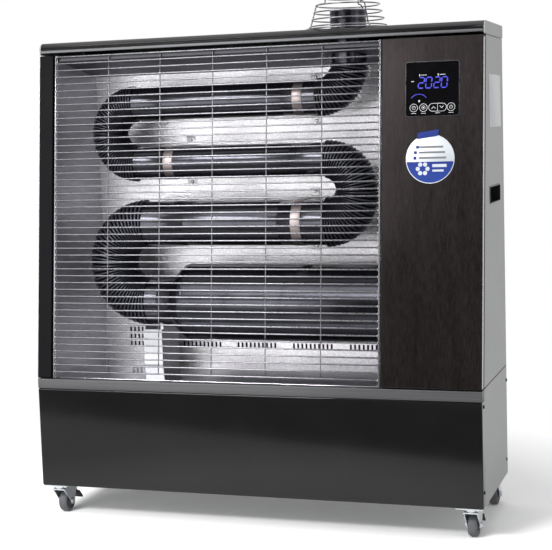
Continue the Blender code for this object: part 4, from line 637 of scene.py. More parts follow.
back_points = arc_points((lid_high.y - BACK_BEND, LID_TOP - BACK_BEND), BACK_BEND, 0, 90, 8)
nose_points = arc_points((lid_low.y + NOSE, LID_TOP - NOSE), NOSE, 90, 180, 20)
points = [(lid_high.y, lid_low.z), *back_points, *nose_points, (lid_low.y, lid_low.z + LIP)]
lid = section_piece("lid_rolled", points, lid_low.x, lid_high.x, -1)
apply_modifiers(lid)
print("lid faces:", len(lid.data.polygons))

# %% Cut the stack's hole
STACK_OUTER = (stack_high.x - stack_low.x) / 2


def cut_away(piece, tool):
    """Subtract a tool from a piece by a Boolean, and throw the tool away."""
    cut = piece.modifiers.new("cut", "BOOLEAN")
    cut.object = tool
    cut.solver = "EXACT"
    apply_modifiers(piece)
    bpy.data.objects.remove(tool)


select_nothing()
bpy.ops.mesh.primitive_cylinder_add(vertices=96, radius=STACK_OUTER + 0.0007, depth=0.03,
                                    location=(STACK_X, TUBE_Y, LID_TOP))
punch = bpy.context.object
edit(lid)
turn_outwards()
cut_away(lid, punch)
settle(lid)
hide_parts("lid")
dress(lid, "cabinet", enamel_black)
print("lid faces after the cut:", len(lid.data.polygons))

# %% [markdown]
# ## The wire guard
# The guard is a ladder of chromed wires spot-welded between two upright bars, with thinner
# stays behind. One wire is modelled and copied up the slope, and a small round fillet marks
# each weld. Each copy has only twelve sides, because at this size the eye reads the
# highlight and not the section.

# %% One wire and its copies
WIRE_COUNT, WIRE_RADIUS, BAR_RADIUS, STAY_RADIUS = 47, 0.00175, 0.0025, 0.00125
WIRE_DEPTH, WELD_IN = 0.0035, 0.0022
wires_low, wires_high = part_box("guard_wires")
BAR_LEFT, BAR_RIGHT = wires_low.x + BAR_RADIUS, wires_high.x - BAR_RADIUS
FIRST_WIRE = 0.0170 / math.cos(LEAN)
LAST_WIRE = SLOPE - 0.0046 / math.cos(LEAN)
WIRE_STEP = (LAST_WIRE - FIRST_WIRE) / (WIRE_COUNT - 1)


def rod_between(name, start, end, radius, sides=12):
    """A round wire between two points, its ends domed."""
    start, end = Vector(start), Vector(end)
    half = (end - start).length / 2
    turns = [math.radians(degrees) for degrees in (0, 30, 60)]
    tip = [(radius * math.cos(t), half - radius + radius * math.sin(t)) for t in turns]
    profile = [(0, half), *reversed(tip), *[(r, -h) for r, h in tip], (0, -half)]
    turn = (end - start).to_track_quat("Z", "Y").to_matrix().to_4x4()
    return spun(name, profile, sides, Matrix.Translation((start + end) / 2) @ turn)


def copy_of(piece, matrix):
    """A copy with its own mesh, moved."""
    twin = placed(piece.name, piece.data.copy())
    twin.data.transform(matrix)
    return twin


rungs = [rod_between("guard_rung", (BAR_LEFT, WIRE_DEPTH, FIRST_WIRE),
                     (BAR_RIGHT, WIRE_DEPTH, FIRST_WIRE), WIRE_RADIUS)]
for i in range(1, WIRE_COUNT):
    rungs.append(copy_of(rungs[0], Matrix.Translation((0, 0, WIRE_STEP * i))))
weld = spun("weld_fillet", [(0, 0.0032), (0.0022, 0.0026), (0.0031, 0.0012), (0.0031, -0.0012),
                            (0.0022, -0.0026), (0, -0.0032)], 10, facing_right)
foot = (WIRE_DEPTH + BAR_RADIUS) * math.tan(LEAN) + 0.0004
for x, inward in ((BAR_LEFT, WELD_IN), (BAR_RIGHT, -WELD_IN)):
    rungs.append(rod_between("guard_bar", (x, WIRE_DEPTH, foot), (x, WIRE_DEPTH, SLOPE - 0.001),
                             BAR_RADIUS, 18))
    for i in range(WIRE_COUNT):
        seat = (x + inward, WIRE_DEPTH, FIRST_WIRE + WIRE_STEP * i)
        rungs.append(copy_of(weld, Matrix.Translation(seat)))
bpy.data.objects.remove(weld)
guard = settle(join("guard_wires_drawn", rungs), leaning)
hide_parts("guard_wires")
dress(guard, "cabinet", guard_chrome)
print("guard faces:", len(guard.data.polygons))

# %% The stays behind the wires
STAY_DEPTH = WIRE_DEPTH + 2 * WIRE_RADIUS + 0.0003
stay_places = [CHAMBER_LEFT + 0.126 + 0.1214 * i for i in range(5)]
stays = [rod_between("stay", (x, STAY_DEPTH, FIRST_WIRE), (x, STAY_DEPTH, LAST_WIRE), STAY_RADIUS)
         for x in stay_places]
for level in (FIRST_WIRE, LAST_WIRE):
    stays.append(rod_between("rail", (BAR_LEFT + 0.003, STAY_DEPTH, level),
                             (BAR_RIGHT - 0.003, STAY_DEPTH, level), WIRE_RADIUS))
guard_stays = settle(join("guard_stays_drawn", stays), leaning)
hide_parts("guard_stays")
dress(guard_stays, "cabinet", stay_steel)
print("stays at:", [round(x, 3) for x in stay_places])

# %% [markdown]
# ## The pleated bends
# The bends are made like a stovepipe elbow: a straight tube is crimped into pleats, and the
# pleats close up on the inside as it bends. A circle is spun part of a turn about the
# bend's centre, which gives a smooth arc of rings. Each ring is then let out by where it
# stands in its pleat, with round crests and tight valleys, and the two ends are extruded
# straight as cuffs that slip over the tubes. How high each point stands on its crest is
# kept with the mesh, for the painted shade in the valleys.

# %% Spin an arc and press its pleats
ROW_1, ROW_2, ROW_3, DRUM = 0.910217, 0.778217, 0.642117, 0.465917
SMALL, LARGE = 0.0365, 0.0500
PLEAT_DEPTH, RINGS_PER_PLEAT, CUFF_END = 0.0046, 6, 0.0008


def on_bend(centre, radius, turn):
    """A point of a bend's centre line, at an angle in radians."""
    x, z = centre
    return Vector((x + radius * math.cos(turn), TUBE_Y, z + radius * math.sin(turn)))


def press_pleats(piece, centre, radius, first, span, tubes, pleats):
    """Let each point out by its place in its pleat, and note how high it stands."""
    crests = [1.0] * len(piece.data.vertices)
    for vertex in piece.data.vertices:
        along = math.degrees(math.atan2(vertex.co.z - centre[1], vertex.co.x - centre[0]))
        share = ((along - first) % 360 if span > 0 else (first - along) % 360) / abs(span)
        share = share if share < 1.5 else 0.0
        ring = on_bend(centre, radius, math.radians(first + span * share))
        valley = tubes[0] + (tubes[1] - tubes[0]) * min(share, 1.0)
        crest = abs(math.sin(math.pi * share * pleats)) ** 0.7
        vertex.co = ring + (vertex.co - ring).normalized() * (valley + PLEAT_DEPTH * crest)
        crests[vertex.index] = crest
    valley_shade_source = piece.data.attributes.new("crest", "FLOAT", "POINT")
    valley_shade_source.data.foreach_set("value", crests)


def pleated(name, node, centre, radius, first, last, tubes, pleats, cuffs):
    """A pleated bend in the X-Z plane, from one angle to another, with its two cuffs."""
    select_nothing()
    start, span = math.radians(first), last - first
    place = on_bend(centre, radius, start)
    bpy.ops.mesh.primitive_circle_add(vertices=48, radius=tubes[0], location=place)
    piece = bpy.context.object
    piece.name = name
    piece.matrix_world = Matrix.Translation(place) @ Matrix.Rotation(-start, 4, "Y")
    bpy.ops.object.transform_apply(location=True, rotation=True, scale=True)
    edit(piece)
    bpy.ops.mesh.spin(steps=pleats * RINGS_PER_PLEAT, angle=math.radians(abs(span)),
                      center=(centre[0], TUBE_Y, centre[1]), axis=(0, 1 if span > 0 else -1, 0))
    bpy.ops.object.mode_set(mode="OBJECT")
    press_pleats(piece, centre, radius, first, span, tubes, pleats)
    edit(piece)
    ends = []
    for angle, sense in ((first, -1), (last, 1)):
        turn = math.radians(angle)
        sign = sense if span > 0 else -sense
        way = Vector((-sign * math.sin(turn), 0, sign * math.cos(turn)))
        ends.append((on_bend(centre, radius, turn), way))
    for (plane, way), cuff in zip(ends, cuffs):
        bpy.ops.mesh.select_all(action="DESELECT")
        bpy.ops.mesh.select_mode(type="EDGE")
        shape = bmesh.from_edit_mesh(piece.data)
        for edge in shape.edges:
            near = all(abs((v.co - plane).dot(way)) < 0.0003 and (v.co - plane).length < 0.08
                       for v in edge.verts)
            edge.select_set(edge.is_boundary and near)
        bmesh.update_edit_mesh(piece.data)
        for length in (cuff, CUFF_END):
            bpy.ops.mesh.extrude_region_move(TRANSFORM_OT_translate={"value": tuple(way * length)})
        bpy.ops.transform.resize(value=(0.985,) * 3,
                                 center_override=tuple(plane + way * (cuff + CUFF_END)))
    turn_outwards()
    piece.data.materials.append(bend_coat)
    piece.data.materials.append(tube_coat)
    for face in piece.data.polygons:
        face.material_index = int(any(
            (face.center - plane).dot(way) > 0.001 and (face.center - plane).length < 2.6 * LARGE
            for plane, way in ends))
    settle(piece, None, 50)
    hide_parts(node)
    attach(piece, "cabinet")
    print(name, "faces:", len(piece.data.polygons))


UPPER_X, RIGHT_X, LOWER_X = -0.3043, 0.1345, -0.2857
CONE_START = CHAMBER_LEFT + 0.262
CONE_FOOT = CONE_START - 0.0275
ELBOW_RADIUS = 0.071
LARGE_CUFF, SMALL_CUFF = 0.100, 0.073
pleated("lower_left_pleated", "lower_left_bend",
        (LOWER_X, (DRUM + ROW_3) / 2), (ROW_3 - DRUM) / 2, 270, 90,
        (LARGE, LARGE), 38, (CONE_FOOT - LOWER_X, LARGE_CUFF))
pleated("right_pleated", "right_bend",
        (RIGHT_X, (ROW_3 + ROW_2) / 2), (ROW_2 - ROW_3) / 2, -90, 90,
        (LARGE, SMALL), 38, (LARGE_CUFF, SMALL_CUFF))
pleated("upper_left_pleated", "upper_left_bend",
        (UPPER_X, (ROW_2 + ROW_1) / 2), (ROW_1 - ROW_2) / 2, 270, 90,
        (SMALL, SMALL), 38, (SMALL_CUFF, SMALL_CUFF))
pleated("elbow_pleated", "exhaust_elbow",
        (STACK_X - ELBOW_RADIUS, ROW_1 + ELBOW_RADIUS), ELBOW_RADIUS, -90, 0,
        (SMALL, SMALL), 19, (SMALL_CUFF, SMALL_CUFF))

# %% [markdown]
# ## Drum, tubes and stack
# These are seam-welded tubes, so each is a turned section about its own axis. The drum
# tapers through a cone into the collar that takes the first bend. A small raised bead marks
# its weld, and the tube ends are rolled in slightly where they slip into a cuff.

# %% Turn the drum and the three rows
drum_low, drum_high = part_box("combustion_drum")
COLLAR = CONE_FOOT - 0.0245
bead = [(0.0850, 0.0140), (0.0859, 0.0115), (0.0862, 0.0090), (0.0859, 0.0065), (0.0850, 0.0040)]
outer = [(0.0850, drum_high.x), *[(radius, CONE_START + along) for radius, along in bead],
         (0.0848, CONE_START + 0.0006), (0.0840, CONE_START - 0.0012),
         (0.0610, CONE_FOOT + 0.0012), (0.0600, CONE_FOOT - 0.0004),
         (0.0528, COLLAR), (0.0528, COLLAR - 0.0092), (0.0524, COLLAR - 0.0100)]
inner = [(0.0506, drum_low.x), (0.0506, COLLAR), (0.0580, CONE_FOOT), (0.0830, CONE_START),
         (0.0830, drum_high.x)]
drum = spun("combustion_drum_turned", outer + inner, 96,
            Matrix.Translation((0, TUBE_Y, DRUM)) @ facing_right, closed=True)
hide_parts("combustion_drum")
dress(drum, "cabinet", tube_coat)


def rolled_in(radius, start, end, tuck, length, wall):
    """The section of a tube whose two ends are rolled in a little."""
    return [(radius - tuck, end), (radius, end - length), (radius, start + length),
            (radius - tuck, start), (radius - wall, start), (radius - wall, end)]


rows = ((1, ROW_1, SMALL), (2, ROW_2, SMALL), (3, ROW_3, LARGE))
for row, level, radius in rows:
    low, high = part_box(f"tube_row_{row}")
    tube = spun(f"tube_row_{row}_turned", rolled_in(radius, low.x, high.x, 0.0004, 0.0015, 0.0015),
                72, Matrix.Translation((0, TUBE_Y, level)) @ facing_right, closed=True)
    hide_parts(f"tube_row_{row}")
    dress(tube, "cabinet", tube_coat)
stack = spun("exhaust_stack_turned",
             rolled_in(STACK_OUTER, stack_low.z, stack_high.z, 0.0003, 0.0004, 0.0011),
             72, Matrix.Translation((STACK_X, TUBE_Y, 0)), closed=True)
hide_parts("exhaust_stack")
dress(stack, "cabinet", tube_coat)
print("turned: drum, three rows and the stack")

# %% [markdown]
# ## The straps
# Each row hangs on a thin stainless strap, bent over the tube and screwed to the reflector.
# The heat has tinted it like copper where it lies on the tube, and its ears are still bright.

# %% Bend the straps
EAR_BEND = 0.002
for row, level, radius in rows:
    low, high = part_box(f"tube_clamp_row_{row}")
    band = radius + 0.0006
    wall = REFLECTOR_Y - 0.0003
    over, under = level + band + EAR_BEND, level - band - EAR_BEND
    points = [(wall, high.z), (wall, over),
              *arc_points((wall - EAR_BEND, over), EAR_BEND, 0, -90, 4)[1:],
              *arc_points((TUBE_Y, level), band, 90, 270, 48),
              *arc_points((wall - EAR_BEND, under), EAR_BEND, 90, 0, 4), (wall, low.z)]
    strap = section_piece(f"strap_row_{row}", points, low.x, high.x, 1)
    round_edges(strap, 0.0003, 2, 50)
    apply_modifiers(strap)
    settle(strap)
    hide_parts(f"tube_clamp_row_{row}")
    dress(strap, "cabinet", strap_steel, stucco)
    for face in strap.data.polygons:
        face.material_index = int(face.center.y > REFLECTOR_Y - 0.003)
print("straps:", len(rows))

# %% [markdown]
# ## The guard over the stack
# A small cage of chromed wire keeps hands off the hot stack. Its rings are tori stacked on a
# cone, and three bent wires cross over the top and hold them. A bent wire is a curve with a
# round bevel, made a mesh once its path is right.

# %% Rings and bent wires
RING_WIRE, WIRE_BEND = 0.0015, 0.005
rings = [(0.0900, 0.0018), (0.0810, 0.0072), (0.0767, 0.0220), (0.0723, 0.0369), (0.0680, 0.0517),
         (0.0490, 0.0670)]
cage = []
for radius, rise in rings:
    select_nothing()
    bpy.ops.mesh.primitive_torus_add(major_segments=96, minor_segments=12, major_radius=radius,
                                     minor_radius=RING_WIRE,
                                     location=(STACK_X, TUBE_Y, LID_TOP + rise))
    cage.append(bpy.context.object)


def bent_wire(name, points, radius, corner):
    """A round wire through points, its corners rounded by short arcs."""
    path = bpy.data.curves.new(name, "CURVE")
    path.dimensions = "3D"
    path.bevel_depth = radius
    path.bevel_resolution = 3
    path.use_fill_caps = True
    points = [Vector(point) for point in points]
    way = [points[0]]
    for before, here, after in zip(points, points[1:], points[2:]):
        reach = min(corner, (before - here).length * 0.45, (after - here).length * 0.45)
        first = here + (before - here).normalized() * reach
        last = here + (after - here).normalized() * reach
        for i in range(7):
            t = i / 6
            way.append(first.lerp(here, t).lerp(here.lerp(last, t), t))
    way.append(points[-1])
    spline = path.splines.new("POLY")
    spline.points.add(len(way) - 1)
    for point, where in zip(spline.points, way):
        point.co = (*where, 1)
    hold(placed(name, path))
    bpy.ops.object.convert(target="MESH")
    return bpy.context.object


stations = [(0.0885, 0.0018), (0.0795, 0.0072), (0.0665, 0.0517), (0.0585, 0.0560),
            (0.0475, 0.0560), (0.0475, 0.0670), (0.0395, 0.0750), (0.0, 0.0750)]
for i in range(3):
    turn = math.radians(-43 + 120 * i)
    path = [(STACK_X + r * math.cos(turn), TUBE_Y + r * math.sin(turn), LID_TOP + h)
            for r, h in stations]
    cage.append(bent_wire("cage_spoke", path, RING_WIRE, WIRE_BEND))
exhaust_guard = settle(join("exhaust_guard_bent", cage))
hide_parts("exhaust_guard")
dress(exhaust_guard, "cabinet", chrome)
print("cage rings:", len(rings), "faces:", len(exhaust_guard.data.polygons))

# %% [markdown]
# ## Castors
# Each castor is a pressed zinc plate with a ball race, a fork, and a nylon wheel with a
# moulded rubber tyre. The wheel is turned in two pieces, so the tyre's soft shoulders and
# the dished hub read as two materials. The plate, fork and pedal keep their CAD shape with
# softened edges.

# %% Turn the wheels, soften the rest
WHEEL_RADIUS, WHEEL_HALF, CAD_SIDES = 0.025, 0.011, 20
shoulder = [(0.0190, 0.0012), (0.0205, 0.0008), (0.0228, 0.0022), (0.0240, 0.0042),
            (0.02465, 0.0066)]
shoulder = [(radius, WHEEL_HALF - back) for radius, back in shoulder]
tyre_profile = [*shoulder, (0.0247, 0.0), *[(r, -h) for r, h in reversed(shoulder)],
                (0.0170, -WHEEL_HALF + 0.0030), (0.0170, WHEEL_HALF - 0.0030)]
dish = [(0.0043, 0.0002), (0.0082, 0.0002), (0.0088, 0.0012), (0.0120, 0.0038), (0.0160, 0.0034),
        (0.0176, 0.0020), (0.0188, 0.0014)]
hub_profile = [(radius, WHEEL_HALF - back) for radius, back in dish]
hub_profile += [(r, -h) for r, h in reversed(hub_profile)]
corners = {"front_left": True, "front_right": True, "rear_left": False, "rear_right": False}
for corner, braked in corners.items():
    low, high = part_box(f"castor_wheel_{corner}")
    middle = (low + high) / 2
    middle.z = WHEEL_RADIUS * math.cos(math.pi / CAD_SIDES)
    axle = Matrix.Translation(middle) @ facing_right
    tyre = spun(f"tyre_{corner}", tyre_profile, 64, axle, closed=True)
    hub = spun(f"wheel_hub_{corner}", hub_profile, 64, axle, closed=True)
    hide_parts(f"castor_wheel_{corner}")
    dress(tyre, f"wheel_{corner}", tyre_rubber)
    dress(hub, f"wheel_{corner}", wheel_nylon)
    softened(f"castor_plate_{corner}", zinc, 0.0004)
    softened(f"castor_fork_{corner}", zinc, 0.0004)
    if braked:
        softened(f"brake_pedal_{corner}", nylon_black, 0.0006)
print("castors:", len(corners))

# %% [markdown]
# ## The touch control
# The control is a thin steel rim round a polished acrylic face. Behind it light four digits,
# a small arc and a row of touch keys. They are printed and lit shapes a tenth of a
# millimetre thick, laid on the face, so they stay sharp from any side. Their places are in
# millimetres from the face's top left corner.

# %% The face and its digits
softened("control_glass", control_face, 0.0005, 3)
flat = [leaning.inverted() @ vertex.co for vertex in nodes["control_glass"].data.vertices]
GLASS_LEFT, GLASS_RIGHT = min(p.x for p in flat), max(p.x for p in flat)
GLASS_LOW, GLASS_TOP = min(p.z for p in flat), max(p.z for p in flat)
GLASS_Y = min(p.y for p in flat)
PRINT = 0.0001
print("face:", round(GLASS_RIGHT - GLASS_LEFT, 4), "by", round(GLASS_TOP - GLASS_LOW, 4))


def lit(name, colour, strength):
    """A light-emitting film: coloured plastic that glows, a little unevenly."""
    material, tree, shader, place = start_finish(name, 0.3)
    speck = add(tree, "ShaderNodeTexNoise", None, {"Vector": place, "Scale": 900, "Detail": 1})
    dark = add(tree, "ShaderNodeMapRange", None, {0: speck, 1: 0.3, 2: 0.7, 4: 0.3})
    tint = add(tree, "ShaderNodeMix", {"data_type": "RGBA"}, {0: dark, 6: colour, 7: "#000000"})
    tree.links.new(tint.outputs[2], shader.inputs["Base Color"])
    tree.links.new(tint.outputs[2], shader.inputs["Emission Color"])
    shader.inputs["Emission Strength"].default_value = strength
    return material


led_blue = lit("blue_led_film", "#2628ae", 0.7)
print_white = lit("white_key_print", "#c9cacc", 0.12)


def raised(name, outlines, rise):
    """Flat outlines, joined where they meet and raised into one thin piece."""
    mesh = bpy.data.meshes.new(name)
    points, faces = [], []
    for outline in outlines:
        faces.append(tuple(range(len(points), len(points) + len(outline))))
        points += outline
    mesh.from_pydata(points, [], faces)
    piece = placed(name, mesh)
    edit(piece)
    bpy.ops.mesh.remove_doubles(threshold=0.000001)
    bpy.ops.mesh.extrude_region_move(TRANSFORM_OT_translate={"value": rise})
    turn_outwards()
    return piece


def printed(name, *outlines):
    """A thin print on the face."""
    on_face = [[(GLASS_LEFT + x / 1000, GLASS_Y, GLASS_TOP - y / 1000) for x, y in outline]
               for outline in outlines]
    return raised(name, on_face, (0, -PRINT, 0))


SEGMENTS = {"0": "abcdef", "2": "abged"}
DIGIT_WIDTH, DIGIT_HEIGHT, BAR, BAR_GAP, DIGIT_SLANT, DIGIT_TOP = 11.6, 21.4, 2.4, 0.9, 0.10, 31.0


def segment(letter, left, top):
    """One of the seven bars of a digit, as a hexagon slanted with the digit."""
    w, h, b = DIGIT_WIDTH, DIGIT_HEIGHT, BAR / 2
    ends = {"a": (0, 0, w, 0), "b": (w, 0, w, h / 2), "c": (w, h / 2, w, h), "d": (0, h, w, h),
            "e": (0, h / 2, 0, h), "f": (0, 0, 0, h / 2), "g": (0, h / 2, w, h / 2)}
    x0, y0, x1, y1 = ends[letter]
    if y0 == y1:
        x0, x1 = x0 + BAR_GAP, x1 - BAR_GAP
        ring = [(x0, y0), (x0 + b, y0 - b), (x1 - b, y0 - b),
                (x1, y0), (x1 - b, y0 + b), (x0 + b, y0 + b)]
    else:
        y0, y1 = y0 + BAR_GAP, y1 - BAR_GAP
        ring = [(x0, y0), (x0 + b, y0 + b), (x0 + b, y1 - b),
                (x0, y1), (x0 - b, y1 - b), (x0 - b, y0 + b)]
    return [(left + x + (h - y) * DIGIT_SLANT, top + y) for x, y in ring]


bars = []
for digit, left in zip("2020", (24.5, 39.7, 56.4, 71.6)):
    bars += [printed("digit_bar", segment(letter, left, DIGIT_TOP)) for letter in SEGMENTS[digit]]
digits = settle(join("display_digits", bars), leaning)
dress(digits, "cabinet", led_blue)
print("digit bars:", len(bars))

# %% The arc, the marks and the touch keys
KEY_Y, KEY_OUTER, KEY_INNER = 92.0, 8.3, 7.5
TIMER_X, MODE_X, POWER_X = 15.8, 35.7, 92.3
DOWN_X, UP_X = 54.5, 75.0


def ring_shape(centre, outer, inner, first=0, last=360, count=48, squash=1.0):
    """A flat ring or arc, as quads that meet edge to edge."""
    x, y = centre
    turns = [math.radians(first + (last - first) * i / count) for i in range(count + 1)]
    out = [(x + outer * math.cos(t), y - outer * squash * math.sin(t)) for t in turns]
    back = [(x + inner * math.cos(t), y - inner * squash * math.sin(t)) for t in turns]
    return [(out[i], out[i + 1], back[i + 1], back[i]) for i in range(count)]


def bar_shape(left, top, right, low):
    """A rectangle."""
    return [(left, top), (right, top), (right, low), (left, low)]


arc = settle(printed("display_arc", *ring_shape((26, 78), 17.5, 16.2, 25, 155, 32, 0.8)), leaning)
dress(arc, "cabinet", led_blue)
keys = [printed("touch_key", *ring_shape((x, KEY_Y), KEY_OUTER, KEY_INNER))
        for x in (TIMER_X, MODE_X, POWER_X)]
pill = [*ring_shape((DOWN_X, KEY_Y), KEY_OUTER, KEY_INNER, 90, 270, 24),
        *ring_shape((UP_X, KEY_Y), KEY_OUTER, KEY_INNER, -90, 90, 24),
        *[bar_shape(DOWN_X, KEY_Y - s * KEY_OUTER, UP_X, KEY_Y - s * KEY_INNER) for s in (-1, 1)],
        bar_shape(64.4, KEY_Y - KEY_INNER, 65.1, KEY_Y + KEY_INNER)]
keys.append(printed("touch_key", *pill))
for x, s in ((DOWN_X + 2, -1), (UP_X - 2, 1)):
    arrow = ((-4, -2), (0, 2), (4, -2), (4, -3.2), (0, 0.8), (-4, -3.2))
    keys.append(printed("arrow", [(x + across, KEY_Y + s * down) for across, down in arrow]))
keys.append(printed("power_mark", *ring_shape((POWER_X, KEY_Y), 3.6, 2.9, 120, 420, 30)))
keys.append(printed("power_bar", bar_shape(91.9, KEY_Y - 4.6, 92.7, KEY_Y - 0.4)))
keys.append(printed("timer_mark", *ring_shape((TIMER_X, KEY_Y), 3.8, 3.1)))
keys.append(printed("timer_hand", bar_shape(15.4, KEY_Y - 2.6, 16.2, KEY_Y + 0.4)))
keys.append(printed("mode_mark", *ring_shape((MODE_X, KEY_Y), 4.0, 3.3)))
keys.append(printed("mode_dot", *ring_shape((MODE_X, KEY_Y), 1.6, 0.2, 0, 360, 20)))
for x, y, w, h in ((27, 24, 1.6, 4.4), (30.5, 25.6, 12, 1), (65, 24, 1.6, 4.4), (68.5, 25.6, 12, 1),
                   (10, 38, 6.5, 1), (25.6, 76.5, 2.8, 4.0)):
    keys.append(printed("small_mark", bar_shape(x, y, x + w, y + h)))
for x in (TIMER_X, MODE_X, 64.8, POWER_X):
    keys.append(printed("key_rule", bar_shape(x - 5, 103.0, x + 5, 103.8)))
key_print = settle(join("touch_keys", keys), leaning)
dress(key_print, "cabinet", print_white)
print("printed shapes:", len(keys))

# %% [markdown]
# ## Screws
# Screws are too small for the CAD, but they are what the eye looks for. A pan-head screw is
# a turned dome with a cross pressed into it. One of each kind is modelled and copied, each
# copy turned by another angle, as a real screw stops where it is tight.

# %% One pan-head screw
def cross_screw(name, radius, rise, material):
    """A domed screw head facing +Z with a cross recess, as a mesh to copy."""
    dome = [(0, 1), (0.35, 0.98), (0.7, 0.8), (0.92, 0.45), (1, 0.1)]
    dome = [(radius * r, rise * h) for r, h in dome]
    head = spun(name, [*dome, (radius, -0.0003), (0, -0.0003)], 24)
    for turned in (0, math.pi / 2):
        select_nothing()
        bpy.ops.mesh.primitive_cube_add(size=1, location=(0, 0, rise), rotation=(0, 0, turned),
                                        scale=(radius * 1.15, radius * 0.24, rise * 1.1))
        cut_away(head, bpy.context.object)
    settle(head)
    head.data.materials.clear()
    head.data.materials.append(material)
    return head


def screws_at(name, head, places):
    """Copies of one screw head, each at its own matrix, joined and riding on the cabinet."""
    copies = [copy_of(head, place @ Matrix.Rotation(0.7 * i, 4, "Z"))
              for i, place in enumerate(places)]
    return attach(settle(join(name, copies)), "cabinet")


black_head = cross_screw("black_screw", 0.0042, 0.0022, screw_black)
zinc_head = cross_screw("zinc_screw", 0.0036, 0.0020, zinc)
side_places = []
for depth, level in ((0.012, 0.104), (0.017, 0.279), (0.298, 0.105), (0.306, 0.281)):
    for side, facing in ((1, facing_right), (-1, facing_left)):
        seat = (side * (HALF - 0.0002), FRONT + depth, level)
        side_places.append(Matrix.Translation(seat) @ facing)
screws_at("side_screws", black_head, side_places)
strap_places = []
for row, _, _ in rows:
    low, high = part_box(f"tube_clamp_row_{row}")
    for level in (high.z - 0.009, low.z + 0.009):
        seat = ((low.x + high.x) / 2, REFLECTOR_Y - 0.0015, level)
        strap_places.append(Matrix.Translation(seat) @ facing_front)
screws_at("strap_screws", zinc_head, strap_places)
print("screws:", len(side_places) + len(strap_places))

# %% The rear cover's screws and the reflector's
cover_low, cover_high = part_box("rear_cover")
back_places = []
for i in range(5):
    x = cover_low.x + 0.012 + (cover_high.x - cover_low.x - 0.024) * i / 4
    for level in (cover_low.z + 0.008, cover_high.z - 0.008):
        back_places.append(Matrix.Translation((x, cover_high.y - 0.0002, level)) @ facing_back)
screws_at("rear_screws", black_head, back_places)
wall_places = []
for i in range(7):
    x = CHAMBER_LEFT + 0.03 + (CHAMBER_RIGHT - CHAMBER_LEFT - 0.06) * i / 6
    seat = (x, REFLECTOR_Y - 0.0001, reflector_high.z - 0.012)
    wall_places.append(Matrix.Translation(seat) @ facing_front)
screws_at("reflector_screws", zinc_head, wall_places)
bpy.data.objects.remove(black_head)
bpy.data.objects.remove(zinc_head)
print("screws behind:", len(back_places), "on the reflector:", len(wall_places))

# %% [markdown]
# ## The badge and the bare plate
# A round vinyl badge, silver over blue with plain bars and dots, sits on the front panel,
# and a bare plate on the side. Both are printed film, which has thickness, so the badge is
# a thin turned disc with raised shapes on it and the plate a block with rounded edges. The
# badge's shapes are in millimetres from its middle.

# %% The badge and the bare rating plate
def vinyl(name, colour, shade, pattern_mm):
    """Printed vinyl: two inks in soft bands on a silky skin."""
    material, tree, shader, place = start_finish(name, 0.4, 0.2, Specular_IOR_Level=0.25)
    turned = add(tree, "ShaderNodeMapping", None, {"Vector": place, "Rotation": (0.3, 0.5, 0.9)})
    wave = add(tree, "ShaderNodeTexWave", {"wave_type": "RINGS"},
               {"Vector": turned, "Scale": 1000 / pattern_mm / 6, "Distortion": 1.5})
    ink = add(tree, "ShaderNodeMix", {"data_type": "RGBA"}, {0: wave, 6: colour, 7: shade})
    tree.links.new(ink.outputs[2], shader.inputs["Base Color"])
    return material


badge_blue = vinyl("blue_badge_vinyl", "#0c1f6a", "#12307c", 60)
badge_silver = vinyl("silver_badge_vinyl", "#aeb4bb", "#c4c9ce", 40)
plate_film = vinyl("bare_plate_film", "#bbbec1", "#c6c9cc", 90)
BADGE_X, BADGE_Z, BADGE_RADIUS, FILM = 0.387, 0.777, 0.0500, 0.0004
badge_slope = (BADGE_Z - LEDGE_TOP) / math.cos(LEAN)
badge_place = leaning @ Matrix.Translation((BADGE_X, 0, badge_slope)) @ facing_front
disc = spun("badge_disc", [(0, 0.0006), (BADGE_RADIUS - 0.0006, 0.0006), (BADGE_RADIUS, 0.0003),
                           (BADGE_RADIUS, -0.0002), (0, -0.0002)], 96, badge_place)
dress(disc, "cabinet", badge_silver)


def badge_shape(name, outline, top):
    """A raised flat shape on the badge: points from its middle, x right and y up."""
    piece = raised(name, [[(x / 1000, y / 1000, FILM) for x, y in outline]], (0, 0, top - FILM))
    piece.data.transform(badge_place)
    return piece


def round_outline(x, y, radius, turns):
    """Points round a middle, at angles in degrees."""
    turns = [math.radians(degrees) for degrees in turns]
    return [(x + radius * math.cos(t), y + radius * math.sin(t)) for t in turns]


lower_half = [187 + 166 * i / 48 for i in range(49)]
blues = [badge_shape("badge_field", round_outline(0, 0, 48.3, lower_half), 0.0008),
         badge_shape("badge_tab", [(-27, 40), (16, 46), (18, 59), (-25, 53)], 0.0009)]
for i, shift in enumerate((5, 1, 0)):
    outline = bar_shape(-34 + shift, 27 - 11 * i, -28 + shift, 21 - 11 * i)
    blues.append(badge_shape("badge_bar", outline, 0.0008))
dress(settle(join("badge_blues", blues)), "cabinet", badge_blue)
greys = [badge_shape("badge_line", bar_shape(-23, 26 - 11 * i, end, 22 - 11 * i), 0.0008)
         for i, end in enumerate((27, 31, 33))]
dress(settle(join("badge_lines", greys)), "cabinet", tank_paint)
whites = [badge_shape("badge_petal", round_outline(x, y, 4.4, range(0, 360, 30)), 0.0010)
          for x, y in round_outline(-15, -20, 10, range(0, 360, 60))]
whites += [badge_shape("badge_stripe", bar_shape(5, -11 - 11 * i, 34 - 6 * i, -17 - 9 * i), 0.0010)
           for i in range(2)]
dress(settle(join("badge_whites", whites)), "cabinet", badge_silver)
plate = rounded_block("rating_plate", (HALF - 0.0001, FRONT + 0.136, 0.837),
                      (HALF + 0.0004, FRONT + 0.278, 0.945), 0.00012)
dress(plate, "cabinet", plate_film)
print("badge shapes:", len(blues) + len(greys) + len(whites))

